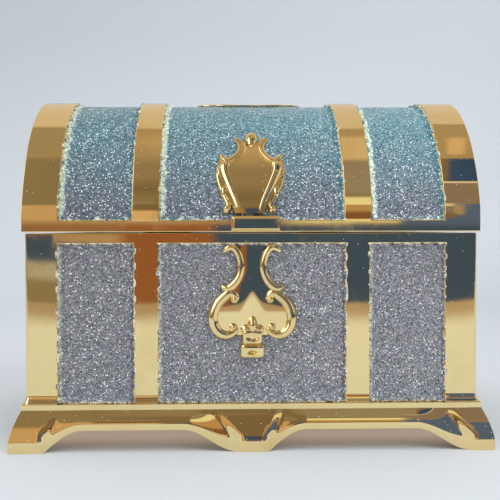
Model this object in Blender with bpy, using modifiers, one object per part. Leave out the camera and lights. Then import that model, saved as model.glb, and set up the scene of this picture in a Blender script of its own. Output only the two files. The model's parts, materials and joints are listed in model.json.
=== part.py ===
"""Treasure-chest jewelry box: gilt zinc castings with glitter inlays, hinged along the back.

Metres, +Z up, the front faces -Y. The origin is on the floor, under the middle of the box.
"""

import math

import bmesh
import bpy
from mathutils import Matrix, Vector

# Driving sizes of the whole box
BOX_WIDTH = 0.114
BOX_DEPTH = 0.080
PLINTH_HEIGHT = 0.0112
BODY_HEIGHT = 0.0424
LID_HEIGHT = 0.037
LID_UPRIGHT = 0.006
LID_OVERHANG = 0.0007
WALL = 0.0032
SEAT_GAP = 0.0003
OVERRUN = 0.004
WELD_DISTANCE = 0.000003

# Bands, rails and inlays
END_BAND = 0.009
CORNER_BAND = 0.0079
MID_BAND_MIDDLE = 0.0264
LID_MID_BAND = 0.0068
BODY_MID_BAND = 0.0059
SIDE_CORNER_BAND = 0.008
END_FRAME = 0.0055
LID_RAIL = 0.00285
BODY_RAIL = 0.0025
BAND_STEP = 0.0011
INLAY_THICKNESS = 0.0006
BODY_CORNER_RADIUS = 0.0007
LID_EDGE_ROUND = 0.0005

# Cove at the foot of the body castings: how far it spreads, and how high it climbs
COVE_SPREAD = 0.001
COVE_HEIGHT = 0.0027
COVE_LIP = 0.00025
COVE_CLIMB_SHARES = (0.2, 0.4, 0.7, 1.0)

# Plinth
FILLET_HEIGHT = 0.0011
FOOT_TOE = 0.0037
APRON_TOE = 0.0024
FOOT_LIP = 0.0021
APRON_LIP = 0.00145
ARCH_HEIGHT = 0.0054
PLINTH_WALL = 0.0018
FLANGE_WIDTH = 0.005
FLANGE_THICKNESS = 0.002
EAR_SIZE = 0.0125
STEEP_RUN = 0.0095
GENTLE_RUN = 0.0135
STEEP_CORNER_FOOT = 0.0086
GENTLE_CORNER_FOOT = 0.006
CENTRE_FOOT_LEFT = 0.0037
CENTRE_FOOT_RIGHT = 0.004
CREASE_RISE = 0.0035
STEEP_CREASE_SPREAD = 0.0028
GENTLE_CREASE_SPREAD = 0.0052
CREASE_WIDTH = 0.0015
LEAN_REACH = 0.0085
STATION_STEP = 0.0021

# Screws that hold the plinth to the body
SCREW_INSET = 0.0085
SCREW_RADIUS = 0.0012
SCREW_HEAD_RADIUS = 0.0021
SCREW_HEAD_HEIGHT = 0.0013
SCREW_SLOT_WIDTH = 0.0005
SCREW_SLOT_DEPTH = 0.0006
SCREW_GRIP = 0.0022

# Hinges
KNUCKLE_RADIUS = 0.002
PIN_RADIUS = 0.0008
PIN_CLEARANCE = 0.0001
HINGE_SET_BACK = 0.0006
HINGE_DROP = 0.00015
LID_KNUCKLE_WIDTH = 0.006
BODY_KNUCKLE_WIDTH = 0.004
PIN_HEAD_RADIUS = 0.0012
PIN_HEAD_LENGTH = 0.0006
LID_WEB_HEIGHT = 0.004
STOP_PAD_HEIGHT = 0.003
OPENING_LIMIT = math.radians(100)
STOP_CLEARANCE = 0.0001

# Ornaments: all stand on the inlays, fixed by posts through the wall
POST_RADIUS = 0.001
PLATE_THICKNESS = 0.0009
ESCUTCHEON_WIDTH = 0.0212
ESCUTCHEON_HEIGHT = 0.0285
ESCUTCHEON_RIB = 0.00075
CREST_WIDTH = 0.0172
CREST_HEIGHT = 0.0254
CREST_RIB = 0.0009
CREST_FOOT_DROP = 0.0014
MEDALLION_LENGTH = 0.0304
MEDALLION_DEPTH = 0.014
MEDALLION_PLATE = 0.0003
MEDALLION_RIB = 0.00032
THUMB_WIDTH = 0.0122
THUMB_HEIGHT = 0.0038
THUMB_PROUD = 0.0024
THUMB_BEVEL = 0.0007
THUMB_LIFT = 0.0001
THUMB_OFFSET = 0.0008

# Velvet lining
FLOOR_PAD = 0.0022
WALL_PAD = 0.0014
LID_PAD = 0.0012
PAD_ROUND = 0.0004
LINING_BELOW_RIM = 0.0005

# Facets
DOME_STEPS = 34
FLARE_STEPS = 4
CORNER_STEPS = 3
ROUND_SIDES = 20
POST_SIDES = 12
RIB_SIDES = 8
BUD_SEGMENTS = 12
BUD_RINGS = 8
SHARP_ANGLE = math.radians(30)
SQUARE_EDGE_ANGLE = math.radians(60)

# Sizes that follow from the driving ones
BODY_HALF_X = BOX_WIDTH / 2 - LID_OVERHANG
BODY_HALF_Y = BOX_DEPTH / 2 - LID_OVERHANG
BODY_BASE = PLINTH_HEIGHT + SEAT_GAP
BODY_TOP = BODY_BASE + BODY_HEIGHT
FLOOR_TOP = BODY_BASE + WALL
LID_BASE = BODY_TOP + SEAT_GAP
LID_TOP = LID_BASE + LID_HEIGHT
DOME_RISE = LID_HEIGHT - LID_UPRIGHT
DOME_RADIUS = (BOX_DEPTH**2 / 4 + DOME_RISE**2) / (2 * DOME_RISE)
DOME_CENTRE = LID_TOP - DOME_RADIUS
DOME_START = math.acos(BOX_DEPTH / 2 / DOME_RADIUS)
DOME_QUARTER = (math.pi / 2 - DOME_START) * DOME_RADIUS
INLAY_SEAT = BAND_STEP + INLAY_THICKNESS + SEAT_GAP
END_BAND_EDGE = BOX_WIDTH / 2 - END_BAND
CORNER_BAND_EDGE = BODY_HALF_X - CORNER_BAND
HINGE_Y = BOX_DEPTH / 2 + HINGE_SET_BACK
HINGE_Z = LID_BASE - HINGE_DROP
BORE_RADIUS = PIN_RADIUS + PIN_CLEARANCE
HINGE_HALF_WIDTH = LID_KNUCKLE_WIDTH / 2 + SEAT_GAP + BODY_KNUCKLE_WIDTH
PIN_HEAD_END = HINGE_HALF_WIDTH + SEAT_GAP + PIN_HEAD_LENGTH
POST_HOLE_RADIUS = POST_RADIUS + SEAT_GAP

MATERIALS = {
    "gold": ((0.83, 0.66, 0.31, 1.0), 0.12, 1.0),
    "lilac_glitter": ((0.23, 0.22, 0.26, 1.0), 0.35, 0.6),
    "teal_glitter": ((0.17, 0.29, 0.34, 1.0), 0.35, 0.6),
    "velvet": ((0.02, 0.03, 0.09, 1.0), 0.95, 0.0),
    "steel": ((0.55, 0.55, 0.56, 1.0), 0.3, 1.0),
}

# Centre lines of the ornaments' right halves, as shares of the ornament's half width and its
# height, with a share of the rib's radius at each point
UPPER_SCROLL_SHARES = [
    (0.67, 0.925, 0.55), (0.60, 0.958, 0.85), (0.47, 0.972, 0.95), (0.36, 0.938, 1.0),
    (0.29, 0.875, 1.0), (0.26, 0.805, 1.0), (0.30, 0.728, 1.0), (0.40, 0.662, 1.05),
    (0.54, 0.617, 1.05), (0.66, 0.620, 0.85), (0.73, 0.645, 0.5),
]
LOWER_SCROLL_SHARES = [
    (0.40, 0.495, 0.75), (0.41, 0.540, 0.9), (0.54, 0.572, 1.0), (0.73, 0.525, 1.05),
    (0.88, 0.460, 1.1), (0.955, 0.378, 1.15), (0.94, 0.294, 1.15), (0.82, 0.228, 1.1),
    (0.65, 0.198, 1.05), (0.49, 0.217, 1.0), (0.40, 0.256, 0.9), (0.49, 0.293, 0.6),
]
PLATE_EDGE_SHARES = [
    (0.255, 0.990), (0.27, 0.880), (0.25, 0.805), (0.30, 0.720), (0.42, 0.640), (0.48, 0.560),
    (0.70, 0.510), (0.85, 0.440), (0.91, 0.370), (0.88, 0.300), (0.78, 0.245), (0.64, 0.215),
    (0.50, 0.235), (0.30, 0.235),
]
SIDE_RIB_SHARES = [
    (0.34, 0.0, 0.8), (0.46, 0.135, 0.9), (0.62, 0.275, 1.0), (0.76, 0.380, 1.0),
    (0.86, 0.450, 1.0), (0.80, 0.515, 0.9), (0.70, 0.500, 0.6),
]
OUTER_RIB_SHARES = [
    (0.62, 0.02, 0.6), (0.62, 0.10, 0.85), (0.80, 0.240, 0.9), (0.915, 0.365, 0.9),
    (0.93, 0.460, 0.9), (0.90, 0.545, 0.8), (0.84, 0.625, 0.6),
]
NECK_RIB_SHARES = [
    (0.84, 0.640, 0.6), (0.70, 0.590, 0.75), (0.46, 0.640, 0.75), (0.32, 0.730, 0.75),
    (0.33, 0.815, 0.75), (0.47, 0.895, 0.45),
]
CREST_EDGE_SHARES = [
    (0.40, 0.0), (0.52, 0.080), (0.66, 0.160), (0.78, 0.240), (0.87, 0.320), (0.91, 0.400),
    (0.90, 0.480), (0.80, 0.560), (0.58, 0.620), (0.40, 0.680), (0.31, 0.740), (0.27, 0.800),
    (0.20, 0.850),
]
CREST_DISH_SHARE = 0.45
CREST_ROW_SHARES = (-1, -0.6, 0, 0.6, 1)
CREST_POST_SHARES = (0.30, 0.58)
CREST_SIDE_RIB_LIFT_SHARE = 0.5
CREST_OUTER_RIB_SHARE = 0.8
CREST_NECK_RIB_SHARE = 0.9
CREST_BUD_PROUD_SHARE = 1.8
ESCUTCHEON_POST_SHARES = (0.42, 0.80)
MEDALLION_POST_SHARES = (-0.3, 0.3)
RIB_SINK_SHARE = 0.2
BUD_RISE_SHARE = 0.885
BUD_HALF_WIDTH_SHARE = 0.19
BUD_HALF_HEIGHT_SHARE = 0.105
DROP_TOP_SHARE = 0.26
DROP_SPLIT_SHARE = 0.12
DROP_HALF_WIDTH_SHARE = 0.25
DROP_CAP_HALF_WIDTH_SHARE = 0.28
DROP_PROUD = 0.0019
DROP_BEVEL = 0.0005
PEAK_RADIUS_SHARES = [(0.22, 1.1), (0.28, 1.0), (0.33, 0.6), (0.36, 0.25)]
PEAK_LEAF_SHARES = [(0.06, 0.340, 0.5), (0.14, 0.312, 0.8), (0.215, 0.277, 0.8), (0.25, 0.245, 0.5)]
MEDALLION_SCROLL_SHARES = [
    (0.15, 0.86, 0.7), (0.35, 0.90, 1.0), (0.58, 0.78, 1.0), (0.72, 0.50, 1.0),
    (0.86, 0.34, 1.0), (0.97, 0.10, 0.8),
]
MEDALLION_EDGE_SHARES = [
    (0.0, 0.80), (0.12, 0.88), (0.33, 0.86), (0.55, 0.74), (0.68, 0.48), (0.84, 0.31), (0.95, 0.0),
]
MEDALLION_BOSS_LENGTH_SHARE = 0.46
MEDALLION_BOSS_DEPTH_SHARE = 0.55


# Scene and mesh helpers


def clear_scene():
    """Empties the scene and makes the two collections: the box, and what cuts or joins it."""
    for thing in list(bpy.data.objects):
        bpy.data.objects.remove(thing)
    made = []
    for name in ("jewelry_box", "shaping"):
        collection = bpy.data.collections.new(name)
        bpy.context.scene.collection.children.link(collection)
        made.append(collection)
    return made


BOX, SHAPING = clear_scene()


def material(name):
    """The named finish, made on first use."""
    found = bpy.data.materials.get(name)
    if found is None:
        colour, roughness, metallic = MATERIALS[name]
        found = bpy.data.materials.new(name)
        found.use_nodes = True
        shader = found.node_tree.nodes["Principled BSDF"]
        shader.inputs["Base Color"].default_value = colour
        shader.inputs["Roughness"].default_value = roughness
        shader.inputs["Metallic"].default_value = metallic
        found.diffuse_color = colour
    return found


def keep(thing, name, finish, carrier=None):
    """Names a finished piece, gives it its finish and puts it with the box."""
    thing.name = name
    thing.data.name = name
    thing.data.materials.clear()
    thing.data.materials.append(material(finish))
    thing.data.shade_smooth()
    thing.data.set_sharp_from_angle(angle=SHARP_ANGLE)
    if carrier is not None:
        thing.parent = carrier
        thing.matrix_parent_inverse = carrier.matrix_world.inverted()
    SHAPING.objects.unlink(thing)
    BOX.objects.link(thing)
    thing.hide_render = False
    thing.display_type = "TEXTURED"
    return thing


def helper(mesh, name):
    """A shape that only cuts or joins others, until keep() makes it a piece."""
    thing = bpy.data.objects.new(name, mesh)
    SHAPING.objects.link(thing)
    thing.hide_render = True
    thing.display_type = "WIRE"
    return thing


def from_bmesh(bm, name):
    """The closed shape as a helper object, with its faces pointing out."""
    mesh = bpy.data.meshes.new(name)
    bmesh.ops.recalc_face_normals(bm, faces=bm.faces)
    if bm.calc_volume(signed=True) < 0:
        bmesh.ops.reverse_faces(bm, faces=bm.faces)
    bm.to_mesh(mesh)
    bm.free()
    return helper(mesh, name)


def block(name, low, high):
    """A rectangular block between two corners."""
    bm = bmesh.new()
    bmesh.ops.create_cube(bm, size=1.0)
    size = Vector(high) - Vector(low)
    middle = (Vector(high) + Vector(low)) / 2
    bmesh.ops.scale(bm, vec=size, verts=bm.verts)
    bmesh.ops.translate(bm, vec=middle, verts=bm.verts)
    return from_bmesh(bm, name)


def cylinder(name, radius, start, end, sides=ROUND_SIDES, end_radius=None):
    """A cylinder or cone between two points."""
    start, end = Vector(start), Vector(end)
    bm = bmesh.new()
    bmesh.ops.create_cone(
        bm,
        cap_ends=True,
        segments=sides,
        radius1=radius,
        radius2=radius if end_radius is None else end_radius,
        depth=(end - start).length,
    )
    turn = (end - start).to_track_quat("Z", "Y").to_matrix().to_4x4()
    bm.transform(Matrix.Translation((start + end) / 2) @ turn)
    return from_bmesh(bm, name)


def made_mesh(curve_object, name):
    """A curve's evaluated shape as a mesh object, with its caps welded on."""
    bpy.context.view_layer.update()
    evaluated = curve_object.evaluated_get(bpy.context.evaluated_depsgraph_get())
    mesh = bpy.data.meshes.new_from_object(evaluated)
    bm = bmesh.new()
    bm.from_mesh(mesh)
    bmesh.ops.remove_doubles(bm, verts=bm.verts, dist=WELD_DISTANCE)
    bm.transform(curve_object.matrix_world)
    bpy.data.objects.remove(curve_object)
    return from_bmesh(bm, name)


def prism(name, outlines, low, high, turn):
    """A flat outline, with any holes, filled and extruded from low to high, then turned."""
    curve = bpy.data.curves.new(name, "CURVE")
    curve.dimensions = "2D"
    curve.fill_mode = "BOTH"
    curve.extrude = (high - low) / 2
    for outline in outlines:
        spline = curve.splines.new("POLY")
        spline.points.add(len(outline) - 1)
        for point, (u, v) in zip(spline.points, outline):
            point.co = (u, v, 0, 1)
        spline.use_cyclic_u = True
    thing = bpy.data.objects.new(name, curve)
    SHAPING.objects.link(thing)
    thing.matrix_world = turn @ Matrix.Translation((0, 0, (low + high) / 2))
    return made_mesh(thing, name)


# Turns an outline drawn in (y, z) so that it is extruded along X, and one drawn in (x, z) along Y
ALONG_X = Matrix(((0, 0, 1, 0), (1, 0, 0, 0), (0, 1, 0, 0), (0, 0, 0, 1)))
ALONG_Y = Matrix(((1, 0, 0, 0), (0, 0, -1, 0), (0, 1, 0, 0), (0, 0, 0, 1)))


def combine(target, operation, others):
    """Cuts the target with the others, or joins them to it, one Boolean for each.

    A curl may touch itself, so a join allows for shapes that cross themselves.
    """
    for other in others:
        modifier = target.modifiers.new(other.name, "BOOLEAN")
        modifier.operation = operation
        modifier.object = other
        modifier.use_self = operation == "UNION"
    return target


def carve(target, *cutters):
    return combine(target, "DIFFERENCE", cutters)


def join(target, *additions):
    return combine(target, "UNION", additions)


def settled(thing, name):
    """The same shape with its modifiers made part of its mesh."""
    bpy.context.view_layer.update()
    evaluated = thing.evaluated_get(bpy.context.evaluated_depsgraph_get())
    mesh = bpy.data.meshes.new_from_object(evaluated)
    bpy.data.objects.remove(thing)
    return helper(mesh, name)


def loft(name, rings, closed=False):
    """Skins a row of rings that have as many points each. Its ends are capped, or joined if closed."""
    bm = bmesh.new()
    rows = [[bm.verts.new(point) for point in ring] for ring in rings]
    pairs = list(zip(rows, rows[1:]))
    if closed:
        pairs.append((rows[-1], rows[0]))
    for one, other in pairs:
        for i in range(len(one)):
            j = (i + 1) % len(one)
            bm.faces.new((one[i], one[j], other[j], other[i]))
    if not closed:
        bm.faces.new(rows[0])
        bm.faces.new(rows[-1])
    return from_bmesh(bm, name)


def rounded_rectangle(half_x, half_y, radius, z):
    """Points anticlockwise round a rectangle with round corners, at height z."""
    points = []
    for quarter, (sx, sy) in enumerate(((1, 1), (-1, 1), (-1, -1), (1, -1))):
        centre_x = sx * (half_x - radius)
        centre_y = sy * (half_y - radius)
        for step in range(CORNER_STEPS + 1):
            angle = (quarter + step / CORNER_STEPS) * math.pi / 2
            x = centre_x + radius * math.cos(angle)
            y = centre_y + radius * math.sin(angle)
            points.append((x, y, z))
    return points


def bevel(thing, width, segments=1, angle=SHARP_ANGLE):
    modifier = thing.modifiers.new("edges", "BEVEL")
    modifier.width = width
    modifier.segments = segments
    modifier.limit_method = "ANGLE"
    modifier.angle_limit = angle
    return thing


# The dome's profile


def dome_arc(inset, foot_z, steps=DOME_STEPS):
    """(y, z) from the front foot over the dome to the back foot, this far inside the lid's skin.

    Upright sides meet an arc about the dome's centre.
    """
    radius = DOME_RADIUS - inset
    half = BOX_DEPTH / 2 - inset
    start = math.acos(half / radius)
    points = [(-half, foot_z)]
    for step in range(steps + 1):
        angle = math.pi - start - (math.pi - 2 * start) * step / steps
        points.append((radius * math.cos(angle), DOME_CENTRE + radius * math.sin(angle)))
    points.append((half, foot_z))
    return points


def dome_strip(inset, thickness, foot_z):
    """Outline of a strip that follows the dome: its skin one way and its back the other."""
    return dome_arc(inset, foot_z) + dome_arc(inset + thickness, foot_z)[::-1]


def dome_place(x, s, h):
    """The point at arc length s above the dome's front springing, h above the inlays' face.

    Below the springing the surface is upright, and the normal turns over one upright's length.
    """
    if s >= 0:
        angle = DOME_START + s / DOME_RADIUS
        radius = DOME_RADIUS - BAND_STEP
        base = Vector((x, -radius * math.cos(angle), DOME_CENTRE + radius * math.sin(angle)))
    else:
        angle = DOME_START * max(0.0, 1 + s / LID_UPRIGHT)
        spring = dome_place(x, 0.0, 0.0)
        base = Vector((x, spring.y, spring.z + s))
    return base + h * Vector((0, -math.cos(angle), math.sin(angle)))


# The hinge, shared by the body and the lid


def hinge_line():
    """An empty on the hinge's axis, which carries all that turns with the lid."""
    empty = bpy.data.objects.new("hinge_line", None)
    empty.location = (0, HINGE_Y, HINGE_Z)
    empty.empty_display_size = KNUCKLE_RADIUS
    BOX.objects.link(empty)
    bpy.context.view_layer.update()
    return empty


def hinge_middles():
    return (-MID_BAND_MIDDLE, MID_BAND_MIDDLE)


def knuckle(name, middle, width, radius=KNUCKLE_RADIUS):
    start = (middle - width / 2, HINGE_Y, HINGE_Z)
    end = (middle + width / 2, HINGE_Y, HINGE_Z)
    return cylinder(name, radius, start, end)


def body_knuckle_middles(middle):
    reach = LID_KNUCKLE_WIDTH / 2 + SEAT_GAP + BODY_KNUCKLE_WIDTH / 2
    return (middle - reach, middle + reach)


def hinge_clearing(middle):
    """Room for the whole row of knuckles and the pin's heads, turned about the pin."""
    return knuckle("clearing", middle, 2 * (PIN_HEAD_END + SEAT_GAP), KNUCKLE_RADIUS + SEAT_GAP)


def pin_bore(middle, half_width):
    """The pin's bore, long enough to pass knuckles this far from the middle of the hinge."""
    return knuckle("pin_bore", middle, 2 * (half_width + SEAT_GAP / 2), BORE_RADIUS)


def hinge_pin(name, middle):
    """A pin with a round head at each end, which holds the body's and the lid's knuckles."""
    half = HINGE_HALF_WIDTH + SEAT_GAP
    shaft = knuckle(name, middle, 2 * half + PIN_HEAD_LENGTH, PIN_RADIUS)
    heads = []
    for side in (-1, 1):
        start = (middle + side * half, HINGE_Y, HINGE_Z)
        end = (middle + side * (half + PIN_HEAD_LENGTH), HINGE_Y, HINGE_Z)
        heads.append(
            cylinder("pin_head", PIN_HEAD_RADIUS, start, end, ROUND_SIDES, PIN_RADIUS)
        )
    return keep(join(shaft, *heads), name, "steel")


# Body casting


def body_panels():
    """(name, low x, high x) of the inlays across the front, and across the back."""
    near = MID_BAND_MIDDLE - BODY_MID_BAND / 2
    far = MID_BAND_MIDDLE + BODY_MID_BAND / 2
    edge = CORNER_BAND_EDGE
    return (("left", -edge, -far), ("centre", -near, near), ("right", far, edge))


def side_panel_edge():
    return BODY_HALF_Y - SIDE_CORNER_BAND


def inlay_recesses():
    """Cutters for the seats of the eight inlays, open at the foot of the casting."""
    cutters = []
    top = BODY_TOP - BODY_RAIL
    bottom = BODY_BASE - OVERRUN
    for side in (-1, 1):
        inner = side * (BODY_HALF_Y - INLAY_SEAT)
        outer = side * (BODY_HALF_Y + OVERRUN)
        for name, low, high in body_panels():
            low_y, high_y = sorted((inner, outer))
            cutters.append(block("seat_" + name, (low, low_y, bottom), (high, high_y, top)))
        inner = side * (BODY_HALF_X - INLAY_SEAT)
        outer = side * (BODY_HALF_X + OVERRUN)
        low_x, high_x = sorted((inner, outer))
        edge = side_panel_edge()
        cutters.append(block("seat_side", (low_x, -edge, bottom), (high_x, edge, top)))
    return cutters


def screw_places():
    x = BODY_HALF_X - SCREW_INSET
    y = BODY_HALF_Y - SCREW_INSET
    return [(sx * x, sy * y) for sy in (-1, 1) for sx in (-1, 1)]


def stop_pad_top():
    """Height where the lid's hinge web lands when the lid stands at its opening limit."""
    edge = KNUCKLE_RADIUS
    sin, cos = math.sin(OPENING_LIMIT), math.cos(OPENING_LIMIT)
    up = (edge - KNUCKLE_RADIUS * cos) / sin
    landing = -KNUCKLE_RADIUS * sin + up * cos
    return HINGE_Z + landing - STOP_CLEARANCE


def body_hinge_parts():
    """Knuckles on webs at the top rail, and the pads that stop the lid's webs."""
    parts = []
    back = BODY_HALF_Y - HINGE_SET_BACK
    outer = HINGE_Y + KNUCKLE_RADIUS
    for middle in hinge_middles():
        for place in body_knuckle_middles(middle):
            half = (BODY_KNUCKLE_WIDTH - SEAT_GAP) / 2
            low = (place - half, BODY_HALF_Y - KNUCKLE_RADIUS, BODY_TOP - BODY_RAIL + SEAT_GAP)
            high = (place + half, outer - SEAT_GAP / 2, BODY_TOP - HINGE_DROP)
            parts.append(block("body_web", low, high))
            parts.append(knuckle("body_knuckle", place, BODY_KNUCKLE_WIDTH))
        half = LID_KNUCKLE_WIDTH / 2 - SEAT_GAP
        top = stop_pad_top()
        low = (middle - half, back, top - STOP_PAD_HEIGHT)
        parts.append(block("stop_pad", low, (middle + half, outer, top)))
    return parts


def body_shell():
    """The open box: walls with sunk seats for the inlays, a cove at the foot, hinge knuckles."""
    cove = [(0.0, 1.0), (COVE_LIP / COVE_HEIGHT, 1.0)]
    cove += [(share, (1 - share) ** 3) for share in COVE_CLIMB_SHARES]
    rings = []
    for climb, spread in cove:
        z = BODY_BASE + climb * COVE_HEIGHT
        out = spread * COVE_SPREAD
        ring = rounded_rectangle(
            BODY_HALF_X + out, BODY_HALF_Y + out, BODY_CORNER_RADIUS + out, z
        )
        rings.append(ring)
    rings.append(rounded_rectangle(BODY_HALF_X, BODY_HALF_Y, BODY_CORNER_RADIUS, BODY_TOP))
    shell = loft("body_shell", rings)
    inner_x, inner_y = BODY_HALF_X - WALL, BODY_HALF_Y - WALL
    cavity = block(
        "cavity", (-inner_x, -inner_y, FLOOR_TOP), (inner_x, inner_y, BODY_TOP + OVERRUN)
    )
    carve(shell, cavity, *inlay_recesses())
    carve(shell, *[hinge_clearing(middle) for middle in hinge_middles()])
    join(shell, *body_hinge_parts())
    carve(shell, *[pin_bore(middle, HINGE_HALF_WIDTH) for middle in hinge_middles()])
    for x, y in screw_places():
        top = BODY_BASE + SCREW_GRIP + SEAT_GAP
        hole = cylinder(
            "screw_hole", SCREW_RADIUS + SEAT_GAP, (x, y, BODY_BASE - OVERRUN), (x, y, top)
        )
        carve(shell, hole)
    for place in ESCUTCHEON_POST_SHARES:
        carve(shell, escutcheon_post(place, POST_HOLE_RADIUS, OVERRUN))
    return keep(shell, "body_shell", "gold")


def body_inlays():
    """Glitter plates in the seats of the front, the back and the two ends."""
    top = BODY_TOP - BODY_RAIL - SEAT_GAP
    for face, side in (("front", -1), ("back", 1)):
        outer = side * (BODY_HALF_Y - BAND_STEP)
        inner = outer - side * INLAY_THICKNESS
        low_y, high_y = sorted((inner, outer))
        for name, low, high in body_panels():
            panel = block(
                "panel",
                (low + SEAT_GAP, low_y, BODY_BASE),
                (high - SEAT_GAP, high_y, top),
            )
            if side < 0 and name == "centre":
                for place in ESCUTCHEON_POST_SHARES:
                    carve(panel, escutcheon_post(place, POST_HOLE_RADIUS, OVERRUN))
            keep(panel, f"{face}_inlay_{name}", "lilac_glitter")
    edge = side_panel_edge() - SEAT_GAP
    for name, side in (("left", -1), ("right", 1)):
        outer = side * (BODY_HALF_X - BAND_STEP)
        low_x, high_x = sorted((outer, outer - side * INLAY_THICKNESS))
        panel = block("panel", (low_x, -edge, BODY_BASE), (high_x, edge, top))
        keep(panel, f"side_inlay_{name}", "lilac_glitter")


# Plinth


def smooth_step(value):
    value = min(1.0, max(0.0, value))
    return value * value * (3 - 2 * value)


def plinth_arches(side):
    """(foot end, foot start) of each arch, seen from outside with the left end steep.

    The front and the back have a centre foot, and the ends have one wide arch.
    """
    half = (BODY_HALF_X if side % 2 == 0 else BODY_HALF_Y) + FOOT_TOE
    left, right = -half + STEEP_CORNER_FOOT, half - GENTLE_CORNER_FOOT
    if side % 2 == 0:
        return [(left, -CENTRE_FOOT_LEFT), (CENTRE_FOOT_RIGHT, right)]
    return [(left, right)]


def arch_rise(side, u):
    """Height of the plinth's bottom edge at u: a quarter wave up from the left foot of each
    arch, level along its middle, and half a wave down to its right foot."""
    for left, right in plinth_arches(side):
        if left < u < right:
            up = math.sin(math.pi / 2 * min(1.0, (u - left) / STEEP_RUN))
            down = (1 - math.cos(math.pi * min(1.0, (right - u) / GENTLE_RUN))) / 2
            return ARCH_HEIGHT * min(up, down)
    return 0.0


def crease_climb(z):
    """How far up its lean a foot's crease is at height z, from 0 to 1 under the fillet."""
    return min(1.0, max(0.0, z - CREASE_RISE) / (PLINTH_HEIGHT - FILLET_HEIGHT - CREASE_RISE))


def crease_lean(side, u, z):
    """How far a station at u leans at height z, so that the stations run along the creases.

    The lean is whole across a crease, and fades away on the apron and on the foot.
    """
    foot = min(STEEP_CORNER_FOOT, GENTLE_CORNER_FOOT) - FOOT_TOE
    lean = 0.0
    for left, right in plinth_arches(side):
        for inside, spread in ((u - left, STEEP_CREASE_SPREAD), (right - u, -GENTLE_CREASE_SPREAD)):
            reach = LEAN_REACH if inside > 0 else foot
            fade = (reach - abs(inside)) / (reach - CREASE_WIDTH / 2)
            lean += spread * crease_climb(z) * min(1.0, max(0.0, fade))
    return lean


def footness(side, u, z):
    """1 on the faces of the feet, 0 on the aprons, with a crease that leans out as it climbs."""
    climb = crease_climb(z)
    least = 1.0
    for left, right in plinth_arches(side):
        from_left = u - (left + STEEP_CREASE_SPREAD * climb)
        from_right = (right - GENTLE_CREASE_SPREAD * climb) - u
        inside = min(from_left, from_right)
        least = min(least, 1 - smooth_step(inside / CREASE_WIDTH + 0.5))
    return least


def plinth_section(side, u):
    """(place along the side, offset from the body's face, z) round the plinth's wall at u, down
    outside and up inside."""
    rise = arch_rise(side, u)
    lip = APRON_LIP + (FOOT_LIP - APRON_LIP) * (1 - rise / ARCH_HEIGHT)
    fillet_foot = PLINTH_HEIGHT - FILLET_HEIGHT
    lip_top = rise + lip
    outer = []
    for step in range(FLARE_STEPS + 1):
        t = step / FLARE_STEPS
        z = fillet_foot + (lip_top - fillet_foot) * t
        run = u + crease_lean(side, u, z)
        toe = APRON_TOE + (FOOT_TOE - APRON_TOE) * footness(side, run, z)
        swell = 1 - (1 - t) ** 2
        outer.append((run, COVE_SPREAD + (toe - COVE_SPREAD) * swell, z))
    top = (outer[0][0], COVE_SPREAD, PLINTH_HEIGHT)
    heel = (u + crease_lean(side, u, rise), outer[-1][1], rise)
    outer = [top] + outer + [heel]
    inner = [(run, offset - PLINTH_WALL, z) for run, offset, z in outer[::-1]]
    return outer + inner


def plinth_stations(side):
    """Places along one side, close together at the arches' ends and at the feet's creases."""
    half = BODY_HALF_X if side % 2 == 0 else BODY_HALF_Y
    places = {-half, half}
    for left, right in plinth_arches(side):
        for low, high in ((left, left + STEEP_RUN), (right - GENTLE_RUN, right)):
            count = math.ceil((high - low) / STATION_STEP)
            places |= {low + (high - low) * i / count for i in range(count + 1)}
        for crease in (left, right):
            places |= {crease - CREASE_WIDTH / 2, crease + CREASE_WIDTH / 2}
    return sorted(place for place in places if abs(place) <= half)


def plinth():
    """The flared foot: a ring casting on arched aprons, with ears for its screws."""
    rings = []
    half_x, half_y = BODY_HALF_X, BODY_HALF_Y
    for side in range(4):
        half = half_x if side % 2 == 0 else half_y
        across = half_y if side % 2 == 0 else half_x
        along = [(1, 0), (0, 1), (-1, 0), (0, -1)][side]
        out = (along[1], -along[0])
        for u in plinth_stations(side)[:-1]:
            # At a corner the section is mitred: its offsets run both ways.
            mitre = -1 if u <= -half else 0
            ring = []
            for place, offset, z in plinth_section(side, u):
                run = place + mitre * offset
                reach = across + offset
                ring.append((along[0] * run + out[0] * reach, along[1] * run + out[1] * reach, z))
            rings.append(ring)
    body = loft("plinth", rings, closed=True)
    under = PLINTH_HEIGHT - FLANGE_THICKNESS
    flange = block("flange", (-half_x, -half_y, under), (half_x, half_y, PLINTH_HEIGHT))
    inner_x, inner_y = half_x + COVE_SPREAD - FLANGE_WIDTH, half_y + COVE_SPREAD - FLANGE_WIDTH
    window = block(
        "flange_window",
        (-inner_x, -inner_y, under - OVERRUN),
        (inner_x, inner_y, PLINTH_HEIGHT + OVERRUN),
    )
    join(body, carve(flange, window))
    for x, y in screw_places():
        sx, sy = math.copysign(1, x), math.copysign(1, y)
        outer = (sx * half_x, sy * half_y)
        inner = (sx * (half_x - EAR_SIZE), sy * (half_y - EAR_SIZE))
        low_x, high_x = sorted((outer[0], inner[0]))
        low_y, high_y = sorted((outer[1], inner[1]))
        ear = block("ear", (low_x, low_y, under), (high_x, high_y, PLINTH_HEIGHT))
        hole = cylinder(
            "ear_hole",
            SCREW_RADIUS + SEAT_GAP,
            (x, y, under - OVERRUN),
            (x, y, PLINTH_HEIGHT + OVERRUN),
        )
        carve(join(body, ear), hole)
    return keep(body, "plinth", "gold")


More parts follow.
